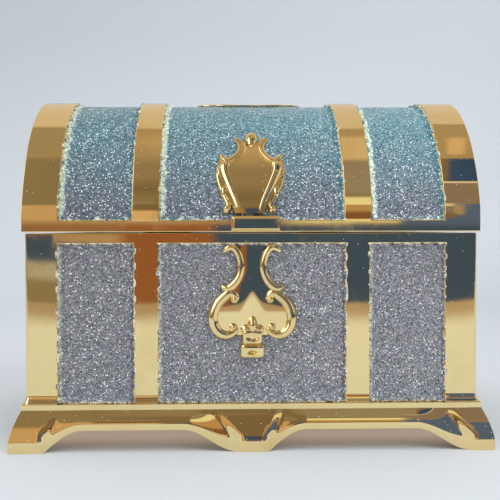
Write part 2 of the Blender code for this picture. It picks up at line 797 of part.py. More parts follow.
def plinth_screw(name, x, y):
    """A pan-head screw with a slot, up through the plinth's ear into the body's floor."""
    seat = PLINTH_HEIGHT - FLANGE_THICKNESS - SEAT_GAP
    top = BODY_BASE + SCREW_GRIP
    foot = seat - SCREW_HEAD_HEIGHT
    shaft = cylinder(name, SCREW_RADIUS, (x, y, foot + SCREW_SLOT_DEPTH), (x, y, top))
    head = cylinder(
        "screw_head",
        SCREW_HEAD_RADIUS - SCREW_SLOT_WIDTH,
        (x, y, foot),
        (x, y, seat),
        ROUND_SIDES,
        SCREW_HEAD_RADIUS,
    )
    reach = SCREW_HEAD_RADIUS + OVERRUN
    slot = block(
        "screw_slot",
        (x - reach, y - SCREW_SLOT_WIDTH / 2, foot - OVERRUN),
        (x + reach, y + SCREW_SLOT_WIDTH / 2, foot + SCREW_SLOT_DEPTH),
    )
    return keep(carve(join(shaft, head), slot), name, "steel")


# Lid casting


def lid_panels():
    """(name, low x, high x) of the inlays that run over the dome."""
    near = MID_BAND_MIDDLE - LID_MID_BAND / 2
    far = MID_BAND_MIDDLE + LID_MID_BAND / 2
    edge = END_BAND_EDGE
    return (("left", -edge, -far), ("centre", -near, near), ("right", far, edge))


def lid_shell(hinge):
    """The barrel lid: one open casting with sunk seats for its inlays and a knuckle a hinge."""
    half = BOX_WIDTH / 2
    shell = prism("lid_shell", [dome_arc(0, LID_BASE)], -half, half, ALONG_X)
    bevel(shell, LID_EDGE_ROUND, angle=SQUARE_EDGE_ANGLE)
    cavity = prism(
        "lid_cavity", [dome_arc(WALL, LID_BASE - OVERRUN)], WALL - half, half - WALL, ALONG_X
    )
    carve(shell, cavity)
    seat_foot = LID_BASE + LID_RAIL
    around = [
        (-half, seat_foot),
        (-half, LID_TOP + OVERRUN),
        (half, LID_TOP + OVERRUN),
        (half, seat_foot),
    ]
    for name, low, high in lid_panels():
        outline = dome_arc(INLAY_SEAT, seat_foot)[::-1] + around
        carve(shell, prism("seat_" + name, [outline], low, high, ALONG_X))
    for side in (-1, 1):
        inner, outer = side * (half - INLAY_SEAT), side * (half + OVERRUN)
        low, high = sorted((inner, outer))
        outline = dome_arc(END_FRAME, seat_foot)
        carve(shell, prism("seat_end", [outline], low, high, ALONG_X))
    for middle in hinge_middles():
        carve(shell, hinge_clearing(middle))
        join(shell, *lid_hinge_parts(middle))
        carve(shell, pin_bore(middle, LID_KNUCKLE_WIDTH / 2))
    for place in CREST_POST_SHARES:
        carve(shell, crest_post(place, POST_HOLE_RADIUS, OVERRUN))
    for place in MEDALLION_POST_SHARES:
        carve(shell, medallion_post(place, POST_HOLE_RADIUS, OVERRUN))
    carve(shell, thumb_post(POST_HOLE_RADIUS, OVERRUN))
    return keep(shell, "lid_shell", "gold", hinge)


def lid_hinge_parts(middle):
    """The lid's knuckle and the web that carries it on the mid band."""
    half = (LID_KNUCKLE_WIDTH - SEAT_GAP) / 2
    inner = BOX_DEPTH / 2 - HINGE_SET_BACK
    outer = HINGE_Y + KNUCKLE_RADIUS
    low = (middle - half, inner, HINGE_Z)
    web = block("lid_web", low, (middle + half, outer, HINGE_Z + LID_WEB_HEIGHT))
    return [web, knuckle("lid_knuckle", middle, LID_KNUCKLE_WIDTH)]


def lid_inlays(hinge):
    """Glitter sheets over the dome, and a D-shaped one in each end."""
    foot = LID_BASE + LID_RAIL + SEAT_GAP
    for name, low, high in lid_panels():
        outline = dome_strip(BAND_STEP, INLAY_THICKNESS, foot)
        sheet = prism("sheet", [outline], low + SEAT_GAP, high - SEAT_GAP, ALONG_X)
        if name == "centre":
            for place in CREST_POST_SHARES:
                carve(sheet, crest_post(place, POST_HOLE_RADIUS, OVERRUN))
            for place in MEDALLION_POST_SHARES:
                carve(sheet, medallion_post(place, POST_HOLE_RADIUS, OVERRUN))
        keep(sheet, f"lid_inlay_{name}", "teal_glitter", hinge)
    for name, side in (("left", -1), ("right", 1)):
        outer = side * (BOX_WIDTH / 2 - BAND_STEP)
        low, high = sorted((outer, outer - side * INLAY_THICKNESS))
        end = prism("end", [dome_arc(END_FRAME + SEAT_GAP, foot)], low, high, ALONG_X)
        keep(end, f"lid_end_inlay_{name}", "teal_glitter", hinge)


# Ornaments


def swept_rib(name, path, radius):
    """A round rib along (u, v, h) points, thinner towards its ends. Each point carries a share
    of the radius."""
    curve = bpy.data.curves.new(name, "CURVE")
    curve.dimensions = "3D"
    curve.bevel_depth = radius
    curve.bevel_resolution = RIB_SIDES // 4 - 1
    curve.use_fill_caps = True
    spline = curve.splines.new("POLY")
    spline.points.add(len(path) - 1)
    for point, (u, v, h, share) in zip(spline.points, path):
        point.co = (u, v, h, 1)
        point.radius = share
    thing = bpy.data.objects.new(name, curve)
    SHAPING.objects.link(thing)
    return made_mesh(thing, name)


def smoothed(points, steps=2):
    """Points on a smooth curve through these, with this many steps between each two."""
    out = []
    for i in range(len(points) - 1):
        before = points[max(i - 1, 0)]
        one, two = points[i], points[i + 1]
        after = points[min(i + 2, len(points) - 1)]
        for step in range(steps):
            t = step / steps
            out.append(
                tuple(
                    0.5
                    * (
                        2 * b
                        + (c - a) * t
                        + (2 * a - 5 * b + 4 * c - d) * t * t
                        + (3 * b - a - 3 * c + d) * t**3
                    )
                    for a, b, c, d in zip(before, one, two, after)
                )
            )
    out.append(tuple(points[-1]))
    return out


def rib_pair(name, shares, half_width, height, lift, radius, steps=2):
    """A rib from its table of shares, and its mirror image. It rests at lift."""
    pair = []
    for side in (-1, 1):
        path = [
            (side * u * half_width, v * height, lift + radius * share, share)
            for u, v, share in smoothed(shares, steps)
        ]
        pair.append(swept_rib(name, path, radius))
    return pair


def mirrored_outline(shares, half_width, height):
    """A closed outline from the right half's table of shares, foot to top or top to foot."""
    right = [(u * half_width, v * height) for u, v in shares]
    left = [(-u, v) for u, v in right[::-1]]
    return right + left


def bud(name, middle, half_width, half_height, lift, proud):
    """An egg-shaped bud, flat on its seat."""
    bm = bmesh.new()
    bmesh.ops.create_uvsphere(bm, u_segments=BUD_SEGMENTS, v_segments=BUD_RINGS, radius=1.0)
    bmesh.ops.scale(bm, vec=(half_width, half_height, proud), verts=bm.verts)
    bmesh.ops.translate(bm, vec=(0, middle, lift), verts=bm.verts)
    cut = bmesh.ops.bisect_plane(
        bm,
        geom=bm.verts[:] + bm.edges[:] + bm.faces[:],
        plane_co=(0, 0, lift + WELD_DISTANCE),
        plane_no=(0, 0, 1),
        clear_inner=True,
    )
    rim = [item for item in cut["geom_cut"] if isinstance(item, bmesh.types.BMEdge)]
    bmesh.ops.contextual_create(bm, geom=rim)
    return from_bmesh(bm, name)


def escutcheon_foot():
    return BODY_TOP - BODY_RAIL - SEAT_GAP - ESCUTCHEON_HEIGHT


def escutcheon_post(share, radius, extra):
    z = escutcheon_foot() + share * ESCUTCHEON_HEIGHT
    face = BODY_HALF_Y - BAND_STEP + SEAT_GAP + PLATE_THICKNESS / 2
    inner = BODY_HALF_Y - WALL + SEAT_GAP
    start = (0, -face - extra, z)
    return cylinder("post", radius, start, (0, -inner + extra, z), POST_SIDES)


def escutcheon():
    """The key plate under the seam: a stem and a bulb between four C scrolls, over a drop."""
    half, height = ESCUTCHEON_WIDTH / 2, ESCUTCHEON_HEIGHT
    outline = mirrored_outline(PLATE_EDGE_SHARES, half, height)
    flat = Matrix.Identity(4)
    plate = prism("plate", [outline], 0, PLATE_THICKNESS, flat)
    lift = PLATE_THICKNESS * RIB_SINK_SHARE
    join(plate, *rib_pair("upper_scroll", UPPER_SCROLL_SHARES, half, height, lift, ESCUTCHEON_RIB))
    join(plate, *rib_pair("lower_scroll", LOWER_SCROLL_SHARES, half, height, lift, ESCUTCHEON_RIB))
    drop_width = DROP_HALF_WIDTH_SHARE * half
    cap_width = DROP_CAP_HALF_WIDTH_SHARE * half
    drop = block(
        "drop",
        (-drop_width, DROP_SPLIT_SHARE * height, lift / 2),
        (drop_width, DROP_TOP_SHARE * height, DROP_PROUD),
    )
    cap = block(
        "drop_cap",
        (-cap_width, 0, lift / 2),
        (cap_width, (DROP_SPLIT_SHARE + lift / height) * height, DROP_PROUD),
    )
    join(plate, bevel(drop, DROP_BEVEL, 2), bevel(cap, DROP_BEVEL, 2))
    peak = [
        (0, v * height, ESCUTCHEON_RIB * share, share)
        for v, share in PEAK_RADIUS_SHARES
    ]
    join(plate, swept_rib("peak", peak, ESCUTCHEON_RIB))
    leaf_lift = PLATE_THICKNESS - ESCUTCHEON_RIB / 2
    join(plate, *rib_pair("leaf", PEAK_LEAF_SHARES, half, height, leaf_lift, ESCUTCHEON_RIB, 1))
    piece = settled(plate, "front_escutcheon")
    face = BODY_HALF_Y - BAND_STEP + SEAT_GAP
    piece.data.transform(Matrix.Translation((0, -face, escutcheon_foot())) @ ALONG_Y)
    join(piece, *[escutcheon_post(share, POST_RADIUS, 0) for share in ESCUTCHEON_POST_SHARES])
    return keep(piece, "front_escutcheon", "gold")


def bent_on_dome(thing, start, name):
    """Bends a flat ornament, drawn in (x, s, h), onto the dome from arc length start."""
    piece = settled(thing, name)
    for vert in piece.data.vertices:
        x, s, h = vert.co
        vert.co = dome_place(x, start + s, h + SEAT_GAP)
    return piece


def dome_post(x, s, radius, extra):
    """A post square to the dome, from inside an ornament's plate to the lid's inner face."""
    outer = dome_place(x, s, SEAT_GAP + MEDALLION_PLATE / 2 + extra)
    inner = dome_place(x, s, BAND_STEP - WALL + SEAT_GAP - extra)
    return cylinder("post", radius, outer, inner, POST_SIDES)


def crest_post(share, radius, extra):
    s = share * CREST_HEIGHT - CREST_FOOT_DROP
    return dome_post(0, s, radius, extra)


def crest_plate():
    """The crest's dished plate: rows across it, raised at the edges and sunk in the middle."""
    half, height = CREST_WIDTH / 2, CREST_HEIGHT
    rings = []
    for u, v in smoothed(CREST_EDGE_SHARES, 1):
        top = []
        for share in CREST_ROW_SHARES:
            sunk = PLATE_THICKNESS * CREST_DISH_SHARE * (1 - share * share)
            top.append((share * u * half, v * height, PLATE_THICKNESS - sunk))
        bottom = [(share * u * half, v * height, 0) for share in CREST_ROW_SHARES[::-1]]
        rings.append(top + bottom)
    return loft("crest_plate", rings)


def crest(hinge):
    """The shield on the lid's front: side scrolls, a neck and three leaves over a dished field."""
    half, height = CREST_WIDTH / 2, CREST_HEIGHT
    plate = crest_plate()
    lift = PLATE_THICKNESS * RIB_SINK_SHARE
    high = PLATE_THICKNESS * CREST_SIDE_RIB_LIFT_SHARE
    outer, neck = CREST_RIB * CREST_OUTER_RIB_SHARE, CREST_RIB * CREST_NECK_RIB_SHARE
    join(plate, *rib_pair("outer_rib", OUTER_RIB_SHARES, half, height, lift, outer))
    join(plate, *rib_pair("side_rib", SIDE_RIB_SHARES, half, height, high, CREST_RIB))
    join(plate, *rib_pair("neck_rib", NECK_RIB_SHARES, half, height, lift, neck))
    leaf = bud(
        "bud",
        BUD_RISE_SHARE * height,
        BUD_HALF_WIDTH_SHARE * half,
        BUD_HALF_HEIGHT_SHARE * height,
        lift / 2,
        CREST_RIB * CREST_BUD_PROUD_SHARE,
    )
    join(plate, leaf)
    piece = bent_on_dome(plate, -CREST_FOOT_DROP, "lid_crest")
    join(piece, *[crest_post(share, POST_RADIUS, 0) for share in CREST_POST_SHARES])
    return keep(piece, "lid_crest", "gold", hinge)


def medallion_post(share, radius, extra):
    return dome_post(share * MEDALLION_LENGTH / 2, DOME_QUARTER, radius, extra)


def medallion(hinge):
    """The low cartouche along the crown: an oval boss between scrolls."""
    half, depth = MEDALLION_LENGTH / 2, MEDALLION_DEPTH / 2
    quarter = [(u * half, v * depth) for u, v in MEDALLION_EDGE_SHARES]
    edge = quarter + [(u, -v) for u, v in quarter[-2::-1]]
    edge += [(-u, v) for u, v in edge[-2:0:-1]]
    plate = prism("plate", [edge], 0, MEDALLION_PLATE, Matrix.Identity(4))
    for turn in (1, -1):
        ribs = rib_pair(
            "scroll",
            [(u, turn * v, share) for u, v, share in MEDALLION_SCROLL_SHARES],
            half,
            depth,
            MEDALLION_PLATE * RIB_SINK_SHARE,
            MEDALLION_RIB,
        )
        join(plate, *ribs)
    boss = bud(
        "boss",
        0,
        MEDALLION_BOSS_LENGTH_SHARE * half,
        MEDALLION_BOSS_DEPTH_SHARE * depth,
        MEDALLION_PLATE * RIB_SINK_SHARE,
        2 * MEDALLION_RIB,
    )
    join(plate, boss)
    piece = bent_on_dome(plate, DOME_QUARTER, "top_medallion")
    join(piece, *[medallion_post(share, POST_RADIUS, 0) for share in MEDALLION_POST_SHARES])
    return keep(piece, "top_medallion", "gold", hinge)


def thumb_post(radius, extra):
    z = LID_BASE + THUMB_LIFT + THUMB_HEIGHT / 2
    face = BOX_DEPTH / 2 + SEAT_GAP + THUMB_PROUD / 2
    inner = BOX_DEPTH / 2 - WALL + SEAT_GAP
    start = (THUMB_OFFSET, -face - extra, z)
    return cylinder("post", radius, start, (THUMB_OFFSET, -inner + extra, z), POST_SIDES)


def thumb_block(hinge):
    """The bevelled block on the lid's front rail that a thumb lifts, a little off the middle."""
    back = -BOX_DEPTH / 2 - SEAT_GAP
    left = THUMB_OFFSET - THUMB_WIDTH / 2
    low = (left, back - THUMB_PROUD, LID_BASE + THUMB_LIFT)
    high = (left + THUMB_WIDTH, back, LID_BASE + THUMB_LIFT + THUMB_HEIGHT)
    middle = (Vector(high) + Vector(low)) / 2
    bm = bmesh.new()
    bmesh.ops.create_cube(bm, size=1.0)
    bmesh.ops.scale(bm, vec=Vector(high) - Vector(low), verts=bm.verts)
    bmesh.ops.translate(bm, vec=middle, verts=bm.verts)
    for vert in bm.verts:
        if vert.co.y < middle.y:
            vert.co.x -= math.copysign(THUMB_BEVEL, vert.co.x - middle.x)
            vert.co.z -= math.copysign(THUMB_BEVEL, vert.co.z - middle.z)
    piece = join(from_bmesh(bm, "thumb_block"), thumb_post(POST_RADIUS, 0))
    return keep(piece, "thumb_block", "gold", hinge)


# Velvet lining


def box_lining():
    """Velvet-covered cards on the four walls, and one on the floor between them."""
    inner_x = BODY_HALF_X - WALL - SEAT_GAP
    inner_y = BODY_HALF_Y - WALL - SEAT_GAP
    low = FLOOR_TOP + SEAT_GAP
    top = BODY_TOP - LINING_BELOW_RIM
    for name, side in (("front", -1), ("back", 1)):
        low_y, high_y = sorted((side * inner_y, side * (inner_y - WALL_PAD)))
        pad = block(name, (-inner_x, low_y, low), (inner_x, high_y, top))
        keep(bevel(pad, PAD_ROUND), f"wall_lining_{name}", "velvet")
    reach = inner_y - WALL_PAD - SEAT_GAP
    for name, side in (("left", -1), ("right", 1)):
        low_x, high_x = sorted((side * inner_x, side * (inner_x - WALL_PAD)))
        pad = block(name, (low_x, -reach, low), (high_x, reach, top))
        keep(bevel(pad, PAD_ROUND), f"wall_lining_{name}", "velvet")
    between = inner_x - WALL_PAD - SEAT_GAP
    pad = block("floor", (-between, -reach, low), (between, reach, low + FLOOR_PAD))
    keep(bevel(pad, PAD_ROUND), "floor_lining", "velvet")


def lid_lining(hinge):
    """Velvet-covered cards in the lid: a vault and two ends."""
    half = BOX_WIDTH / 2 - WALL - SEAT_GAP
    foot = LID_BASE + LINING_BELOW_RIM
    inset = WALL + SEAT_GAP
    vault = prism("vault", [dome_strip(inset, LID_PAD, foot)], -half, half, ALONG_X)
    keep(vault, "lid_lining_vault", "velvet", hinge)
    for name, side in (("left", -1), ("right", 1)):
        low_x, high_x = sorted((side * half, side * (half - LID_PAD)))
        outline = dome_arc(inset + LID_PAD + SEAT_GAP, foot)
        end = prism("end", [outline], low_x, high_x, ALONG_X)
        keep(end, f"lid_lining_{name}", "velvet", hinge)


def main():
    body_shell()
    body_inlays()
    escutcheon()
    plinth()
    for number, (x, y) in enumerate(screw_places(), start=1):
        plinth_screw(f"plinth_screw_{number}", x, y)
    for name, middle in zip(("left", "right"), hinge_middles()):
        hinge_pin(f"hinge_pin_{name}", middle)
    box_lining()
    hinge = hinge_line()
    lid_shell(hinge)
    lid_inlays(hinge)
    crest(hinge)
    medallion(hinge)
    thumb_block(hinge)
    lid_lining(hinge)


main()
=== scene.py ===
"""Looks of the treasure-chest jewelry box: mirror-gilt castings, glitter inlays, velvet lining.

Metres, +Z up, the front faces -Y. Each new piece is worked out as grids of points, and stands
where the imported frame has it.
"""

import json
import math

import bmesh
import bpy
import numpy as np
from mathutils import Matrix, Vector


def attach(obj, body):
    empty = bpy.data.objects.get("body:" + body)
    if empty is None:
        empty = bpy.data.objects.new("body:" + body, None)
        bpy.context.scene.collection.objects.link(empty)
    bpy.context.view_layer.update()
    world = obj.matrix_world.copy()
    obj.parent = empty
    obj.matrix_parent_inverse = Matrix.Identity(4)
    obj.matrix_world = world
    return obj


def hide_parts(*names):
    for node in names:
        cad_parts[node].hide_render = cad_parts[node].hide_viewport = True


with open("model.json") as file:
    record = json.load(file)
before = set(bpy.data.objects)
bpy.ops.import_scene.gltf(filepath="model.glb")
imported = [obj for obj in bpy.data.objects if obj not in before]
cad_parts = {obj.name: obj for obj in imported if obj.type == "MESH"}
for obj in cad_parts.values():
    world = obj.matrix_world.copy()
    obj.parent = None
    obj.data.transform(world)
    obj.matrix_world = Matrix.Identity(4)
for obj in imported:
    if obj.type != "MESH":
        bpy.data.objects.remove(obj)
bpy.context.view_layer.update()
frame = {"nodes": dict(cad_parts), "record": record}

# The camera, as the photograph's corners of the box place it
FOCAL_PIXELS = 876.77
IMAGE_PIXELS = 500
SENSOR_MM = 36
CAMERA_PLACE = (-0.006125, -0.25730, 0.05488)
CAMERA_YAW = 0.0255
CAMERA_PITCH = 0.0239
CAMERA_ROLL = -0.0021
NEAREST_SEEN = 0.01

# The box
BOX_WIDTH = 0.114
BOX_DEPTH = 0.080
PLINTH_HEIGHT = 0.0112
BODY_HEIGHT = 0.0424
LID_HEIGHT = 0.037
LID_UPRIGHT = 0.006
LID_OVERHANG = 0.0007
WALL = 0.0032
SEAT_GAP = 0.0003
END_BAND = 0.009
CORNER_BAND = 0.0079
MID_BAND_MIDDLE = 0.0264
LID_MID_BAND = 0.0068
BODY_MID_BAND = 0.0059
SIDE_CORNER_BAND = 0.008
END_FRAME = 0.0055
LID_RAIL = 0.00285
BODY_RAIL = 0.0025
BAND_STEP = 0.0011
INLAY_THICKNESS = 0.0006
BODY_CORNER_RADIUS = 0.0007
EDGE_ROUND = 0.00022

# Cove, plinth and its flange
COVE_SPREAD = 0.001
COVE_HEIGHT = 0.0027
COVE_LIP = 0.00025
FILLET_HEIGHT = 0.0011
FOOT_TOE = 0.0037
APRON_TOE = 0.0028
FOOT_LIP = 0.0021
APRON_LIP = 0.00145
ARCH_HEIGHT = 0.0054
PLINTH_WALL = 0.0018
FLANGE_WIDTH = 0.005
FLANGE_THICKNESS = 0.002
EAR_SIZE = 0.0125
STEEP_RUN = 0.0095
GENTLE_RUN = 0.0135
STEEP_CORNER_FOOT = 0.0086
GENTLE_CORNER_FOOT = 0.006
CENTRE_FOOT_LEFT = 0.0037
CENTRE_FOOT_RIGHT = 0.004
CREASE_RISE = 0.0035
STEEP_CREASE_SPREAD = 0.0028
GENTLE_CREASE_SPREAD = 0.0052
CREASE_WIDTH = 0.003
FLARE_POWER = 1.55
PLINTH_LIFT = 0.00027

# Hinges
KNUCKLE_RADIUS = 0.002
KNUCKLE_LIP = 0.00025
PIN_RADIUS = 0.0008
PIN_CLEARANCE = 0.0001
HINGE_SET_BACK = 0.0006
HINGE_DROP = 0.00015
LID_KNUCKLE_WIDTH = 0.006
BODY_KNUCKLE_WIDTH = 0.004
PIN_HEAD_RADIUS = 0.0012
PIN_HEAD_LENGTH = 0.0006
LID_WEB_HEIGHT = 0.004
WEB_SLOPE = 0.0012
STOP_PAD_HEIGHT = 0.003
STOP_TOE = 0.0006
OPENING_LIMIT = math.radians(100)
STOP_CLEARANCE = 0.0001

# Resin and flakes of the inlays
FLAKE_STEP = 0.00045
FLAKE_HEIGHT = 0.00006
INTO_WALL = 0.00005
CREEP_REACH = 0.0019
CREEP_RISE = 0.0007
SCALLOP_PERIOD = 0.004
LAP_PERIOD = 0.0034
LAP_REACH = 0.00042
LAP_HEIGHT = 0.0001
BODY_LAP_FILL = 0.3
LID_LAP_FILL = -0.35
SWELL_HEIGHT = 0.00006
SWELL_PERIOD = 0.009

# Ornaments
PLATE_THICKNESS = 0.0009
FIELD_DISH = -0.00005
ESCUTCHEON_WIDTH = 0.0212
ESCUTCHEON_HEIGHT = 0.0285
UPPER_SCROLL_RIB = 0.00093
LOWER_SCROLL_RIB = 0.00115
FAN_SLOPE = 0.028
FAN_SPREAD = 2.1
FAN_SOFT = 0.0006
FAN_TOP_SHARE = 0.58
SILL_SHARE = 0.40
DROP_PROUD = 0.0019
CREST_WIDTH = 0.0172
CREST_HEIGHT = 0.0254
CREST_RIB = 0.0011
CREST_LEAN = 0.0008
CREST_FOOT_DROP = 0.0014
CREST_DISH = 0.0001
CREST_TILT = 0.0007
CREST_PLUMB_SHARE = 0.85
RIB_FLATNESS = 0.85
CREST_RIB_FLATNESS = 0.6
CREST_RIB_LEAN = 0.33
SIDE_RIB_LIFT_SHARE = 0.6
NECK_RIB_LIFT_SHARE = 0.5
OUTER_RIB_SHARE = 0.8
BUD_PROUD = 0.0019
MEDALLION_LENGTH = 0.0304
MEDALLION_DEPTH = 0.014
MEDALLION_PLATE = 0.0003
MEDALLION_RIB = 0.00032
THUMB_WIDTH = 0.0122
THUMB_HEIGHT = 0.0038
THUMB_PROUD = 0.0024
THUMB_BEVEL = 0.0007
THUMB_LIFT = 0.0001
THUMB_OFFSET = 0.0008

# Velvet lining
FLOOR_PAD = 0.0022
WALL_PAD = 0.0014
LID_PAD = 0.0012
PAD_ROUND = 0.0004
PAD_CROWN_REACH = 0.004
PAD_PERIOD = 0.022
PAD_STEP = 0.0012
LINING_BELOW_RIM = 0.0005
D_DEPTH = 0.0115

# How finely the pieces are drawn
CORNER_STEPS = 4
COVE_STEPS = 10
RAIL_STEP = 0.0004
INNER_CORNER = 0.0004
DOME_STEPS = 96
VAULT_STEPS = 80
FLARE_STEPS = 14
PLINTH_STEP = 0.0006
CURVE_STEPS = 12
RIB_ROWS = 60
RIB_SIDES = 20
PLATE_COLUMNS = 49
BEAD_RINGS = 14
CUSHION_COLUMNS = 61
PAD_EDGE_STEPS = 7
TURNED_SIDES = 40
HILL_WAVES = 5
WELD = 2e-6
ROUND_SEGMENTS = 3

# Angles in degrees: past the first ones an edge stays sharp, past the last ones it is rounded
CASTING_SHARP = 40
PLINTH_SHARP = 24
PIN_SHARP = 50
ORNAMENT_SHARP = 60
ALL_SMOOTH = 180
ROUNDED_PAST = 50
THUMB_ROUNDED_PAST = 30

# Centre lines of the ornaments' right halves, as shares of the ornament's half width and its
# height, with a share of the rib's radius at each point
UPPER_SCROLL_SHARES = [
    (0.67, 0.925, 0.55), (0.60, 0.958, 0.85), (0.47, 0.972, 0.95), (0.36, 0.938, 1.0),
    (0.29, 0.875, 1.0), (0.26, 0.805, 1.0), (0.30, 0.728, 1.0), (0.40, 0.662, 1.05),
    (0.54, 0.617, 1.05), (0.66, 0.620, 0.85), (0.73, 0.645, 0.5),
]
LOWER_SCROLL_SHARES = [
    (0.40, 0.495, 0.75), (0.41, 0.540, 0.9), (0.54, 0.572, 1.0), (0.73, 0.525, 1.05),
    (0.88, 0.460, 1.1), (0.955, 0.378, 1.15), (0.94, 0.294, 1.15), (0.82, 0.228, 1.1),
    (0.65, 0.203, 1.0), (0.50, 0.217, 0.9), (0.415, 0.252, 0.8), (0.47, 0.285, 0.75),
]
SIDE_RIB_SHARES = [
    (0.33, 0.0, 0.75), (0.43, 0.125, 0.8), (0.58, 0.250, 0.9), (0.70, 0.350, 1.0),
    (0.79, 0.440, 1.1), (0.80, 0.515, 1.15), (0.70, 0.545, 0.9), (0.64, 0.510, 0.6),
]
OUTER_RIB_SHARES = [
    (0.62, 0.02, 0.6), (0.62, 0.10, 0.85), (0.80, 0.240, 0.9), (0.915, 0.365, 0.9),
    (0.93, 0.460, 0.9), (0.90, 0.545, 0.8), (0.84, 0.625, 0.6),
]
NECK_RIB_SHARES = [
    (0.84, 0.640, 0.6), (0.70, 0.590, 0.75), (0.46, 0.640, 0.75), (0.32, 0.730, 0.75),
    (0.33, 0.815, 0.75), (0.47, 0.895, 0.45),
]
MEDALLION_SCROLL_SHARES = [
    (0.15, 0.86, 0.7), (0.35, 0.90, 1.0), (0.58, 0.78, 1.0), (0.72, 0.50, 1.0),
    (0.86, 0.34, 1.0), (0.97, 0.10, 0.8),
]

# Right edges of the ornaments' plates, as the same shares
PLATE_EDGE_SHARES = [
    (0.255, 0.990), (0.27, 0.880), (0.25, 0.805), (0.30, 0.720), (0.42, 0.640), (0.48, 0.560),
    (0.70, 0.510), (0.85, 0.440), (0.91, 0.370), (0.88, 0.300), (0.78, 0.245), (0.64, 0.215),
    (0.30, 0.205),
]
CREST_EDGE_SHARES = [
    (0.40, 0.0), (0.52, 0.080), (0.66, 0.160), (0.78, 0.240), (0.87, 0.320), (0.91, 0.400),
    (0.90, 0.480), (0.80, 0.560), (0.58, 0.620), (0.40, 0.680), (0.31, 0.740), (0.27, 0.800),
    (0.20, 0.850),
]
MEDALLION_EDGE_SHARES = [
    (0.0, 0.80), (0.12, 0.88), (0.33, 0.86), (0.55, 0.74), (0.68, 0.48), (0.84, 0.31), (0.95, 0.0),
]

# Beads: the place as shares, then the half width, the half height and how proud it stands
SCROLL_KNOBS = [(0.455, 0.275, 0.0011, 0.0011, 0.0020), (0.42, 0.515, 0.0010, 0.0010, 0.0019)]
PEAK_LEAVES = [(0.0, 0.285, 0.0013, 0.0027, 0.0021), (0.13, 0.255, 0.0019, 0.0014, 0.0017)]
CREST_LEAVES = [
    (0.86, 0.640, 0.00085, 0.00085, 0.0014), (0.90, 0.440, 0.0010, 0.0017, 0.0014),
    (0.76, 0.235, 0.0011, 0.0020, 0.0014), (0.66, 0.045, 0.0011, 0.0012, 0.0014),
    (0.80, 0.545, 0.0009, 0.0009, 0.0014),
]

# Drop, bud and boss: shares of the ornament's size, and half width, half height and depth of
# the hollows in the drop
DROP_SHARE = 0.25
CAP_SHARE = 0.295
DROP_SPLIT_SHARE = 0.12
DROP_TOP_SHARE = 0.26
LOWER_SCROLL_REACH_SHARE = 0.965
HOLLOW_SIZE = (0.0018, 0.0012, 0.00025)
HOLLOW_FALL = 0.0001
DIMPLE_SIZE = (0.0013, 0.00055, 0.0008)
DIMPLE_SHARE = 0.45
SHOULDER_SQUEEZE_SHARE = 0.09
BUD_SHARES = (0.885, 0.21, 0.115)
BOSS_SHARES = (0.46, 0.55)

# Worked out
BODY_HALF_X = BOX_WIDTH / 2 - LID_OVERHANG
BODY_HALF_Y = BOX_DEPTH / 2 - LID_OVERHANG
BODY_BASE = PLINTH_HEIGHT + SEAT_GAP
BODY_TOP = BODY_BASE + BODY_HEIGHT
FLOOR_TOP = BODY_BASE + WALL
LID_BASE = BODY_TOP + SEAT_GAP
LID_TOP = LID_BASE + LID_HEIGHT
DOME_RISE = LID_HEIGHT - LID_UPRIGHT
DOME_RADIUS = (BOX_DEPTH**2 / 4 + DOME_RISE**2) / (2 * DOME_RISE)
DOME_CENTRE = LID_TOP - DOME_RADIUS
PLINTH_TOP = PLINTH_HEIGHT + PLINTH_LIFT
INLAY_SEAT = BAND_STEP + INLAY_THICKNESS + SEAT_GAP
END_BAND_EDGE = BOX_WIDTH / 2 - END_BAND
CORNER_BAND_EDGE = BODY_HALF_X - CORNER_BAND

SLOTS = {row["node"]: row["material_slot"] for row in frame["record"]["subparts"]}
BODIES = {
    node: body
    for body, nodes in frame["record"]["behaviour"]["bodies"].items()
    for node in nodes
}


# Shading


class Value:
    """A number that varies over a surface. Sums and products of it add their Math nodes."""

    def __init__(self, shading, socket):
        self.shading = shading
        self.socket = socket

    def math(self, operation, *terms, clamp=False):
        settings = {"operation": operation, "use_clamp": clamp}
        return self.shading.add("ShaderNodeMath", settings, terms)

    def __add__(self, other):
        return self.math("ADD", self, other)

    def __sub__(self, other):
        return self.math("SUBTRACT", self, other)

    def __rsub__(self, other):
        return self.math("SUBTRACT", other, self)

    def __mul__(self, other):
        return self.math("MULTIPLY", self, other)

    def __truediv__(self, other):
        return self.math("DIVIDE", self, other)

    def __pow__(self, other):
        return self.math("POWER", self, other)

    def __neg__(self):
        return self.math("MULTIPLY", self, -1)

    __radd__ = __add__
    __rmul__ = __mul__

    def clamped(self):
        return self.math("ADD", self, 0, clamp=True)

    def step(self, low, high):
        """0 below low and 1 above high, with a smooth rise between. It falls where low is higher."""
        settings = {"interpolation_type": "SMOOTHSTEP"}
        if low < high:
            return self.shading.add("ShaderNodeMapRange", settings, {0: self, 1: low, 2: high})
        return 1 - self.step(high, low)

    def between(self, low, high, soft):
        """1 between low and high, fading to 0 over soft at both sides."""
        return self.step(low - soft, low) * self.step(high + soft, high)


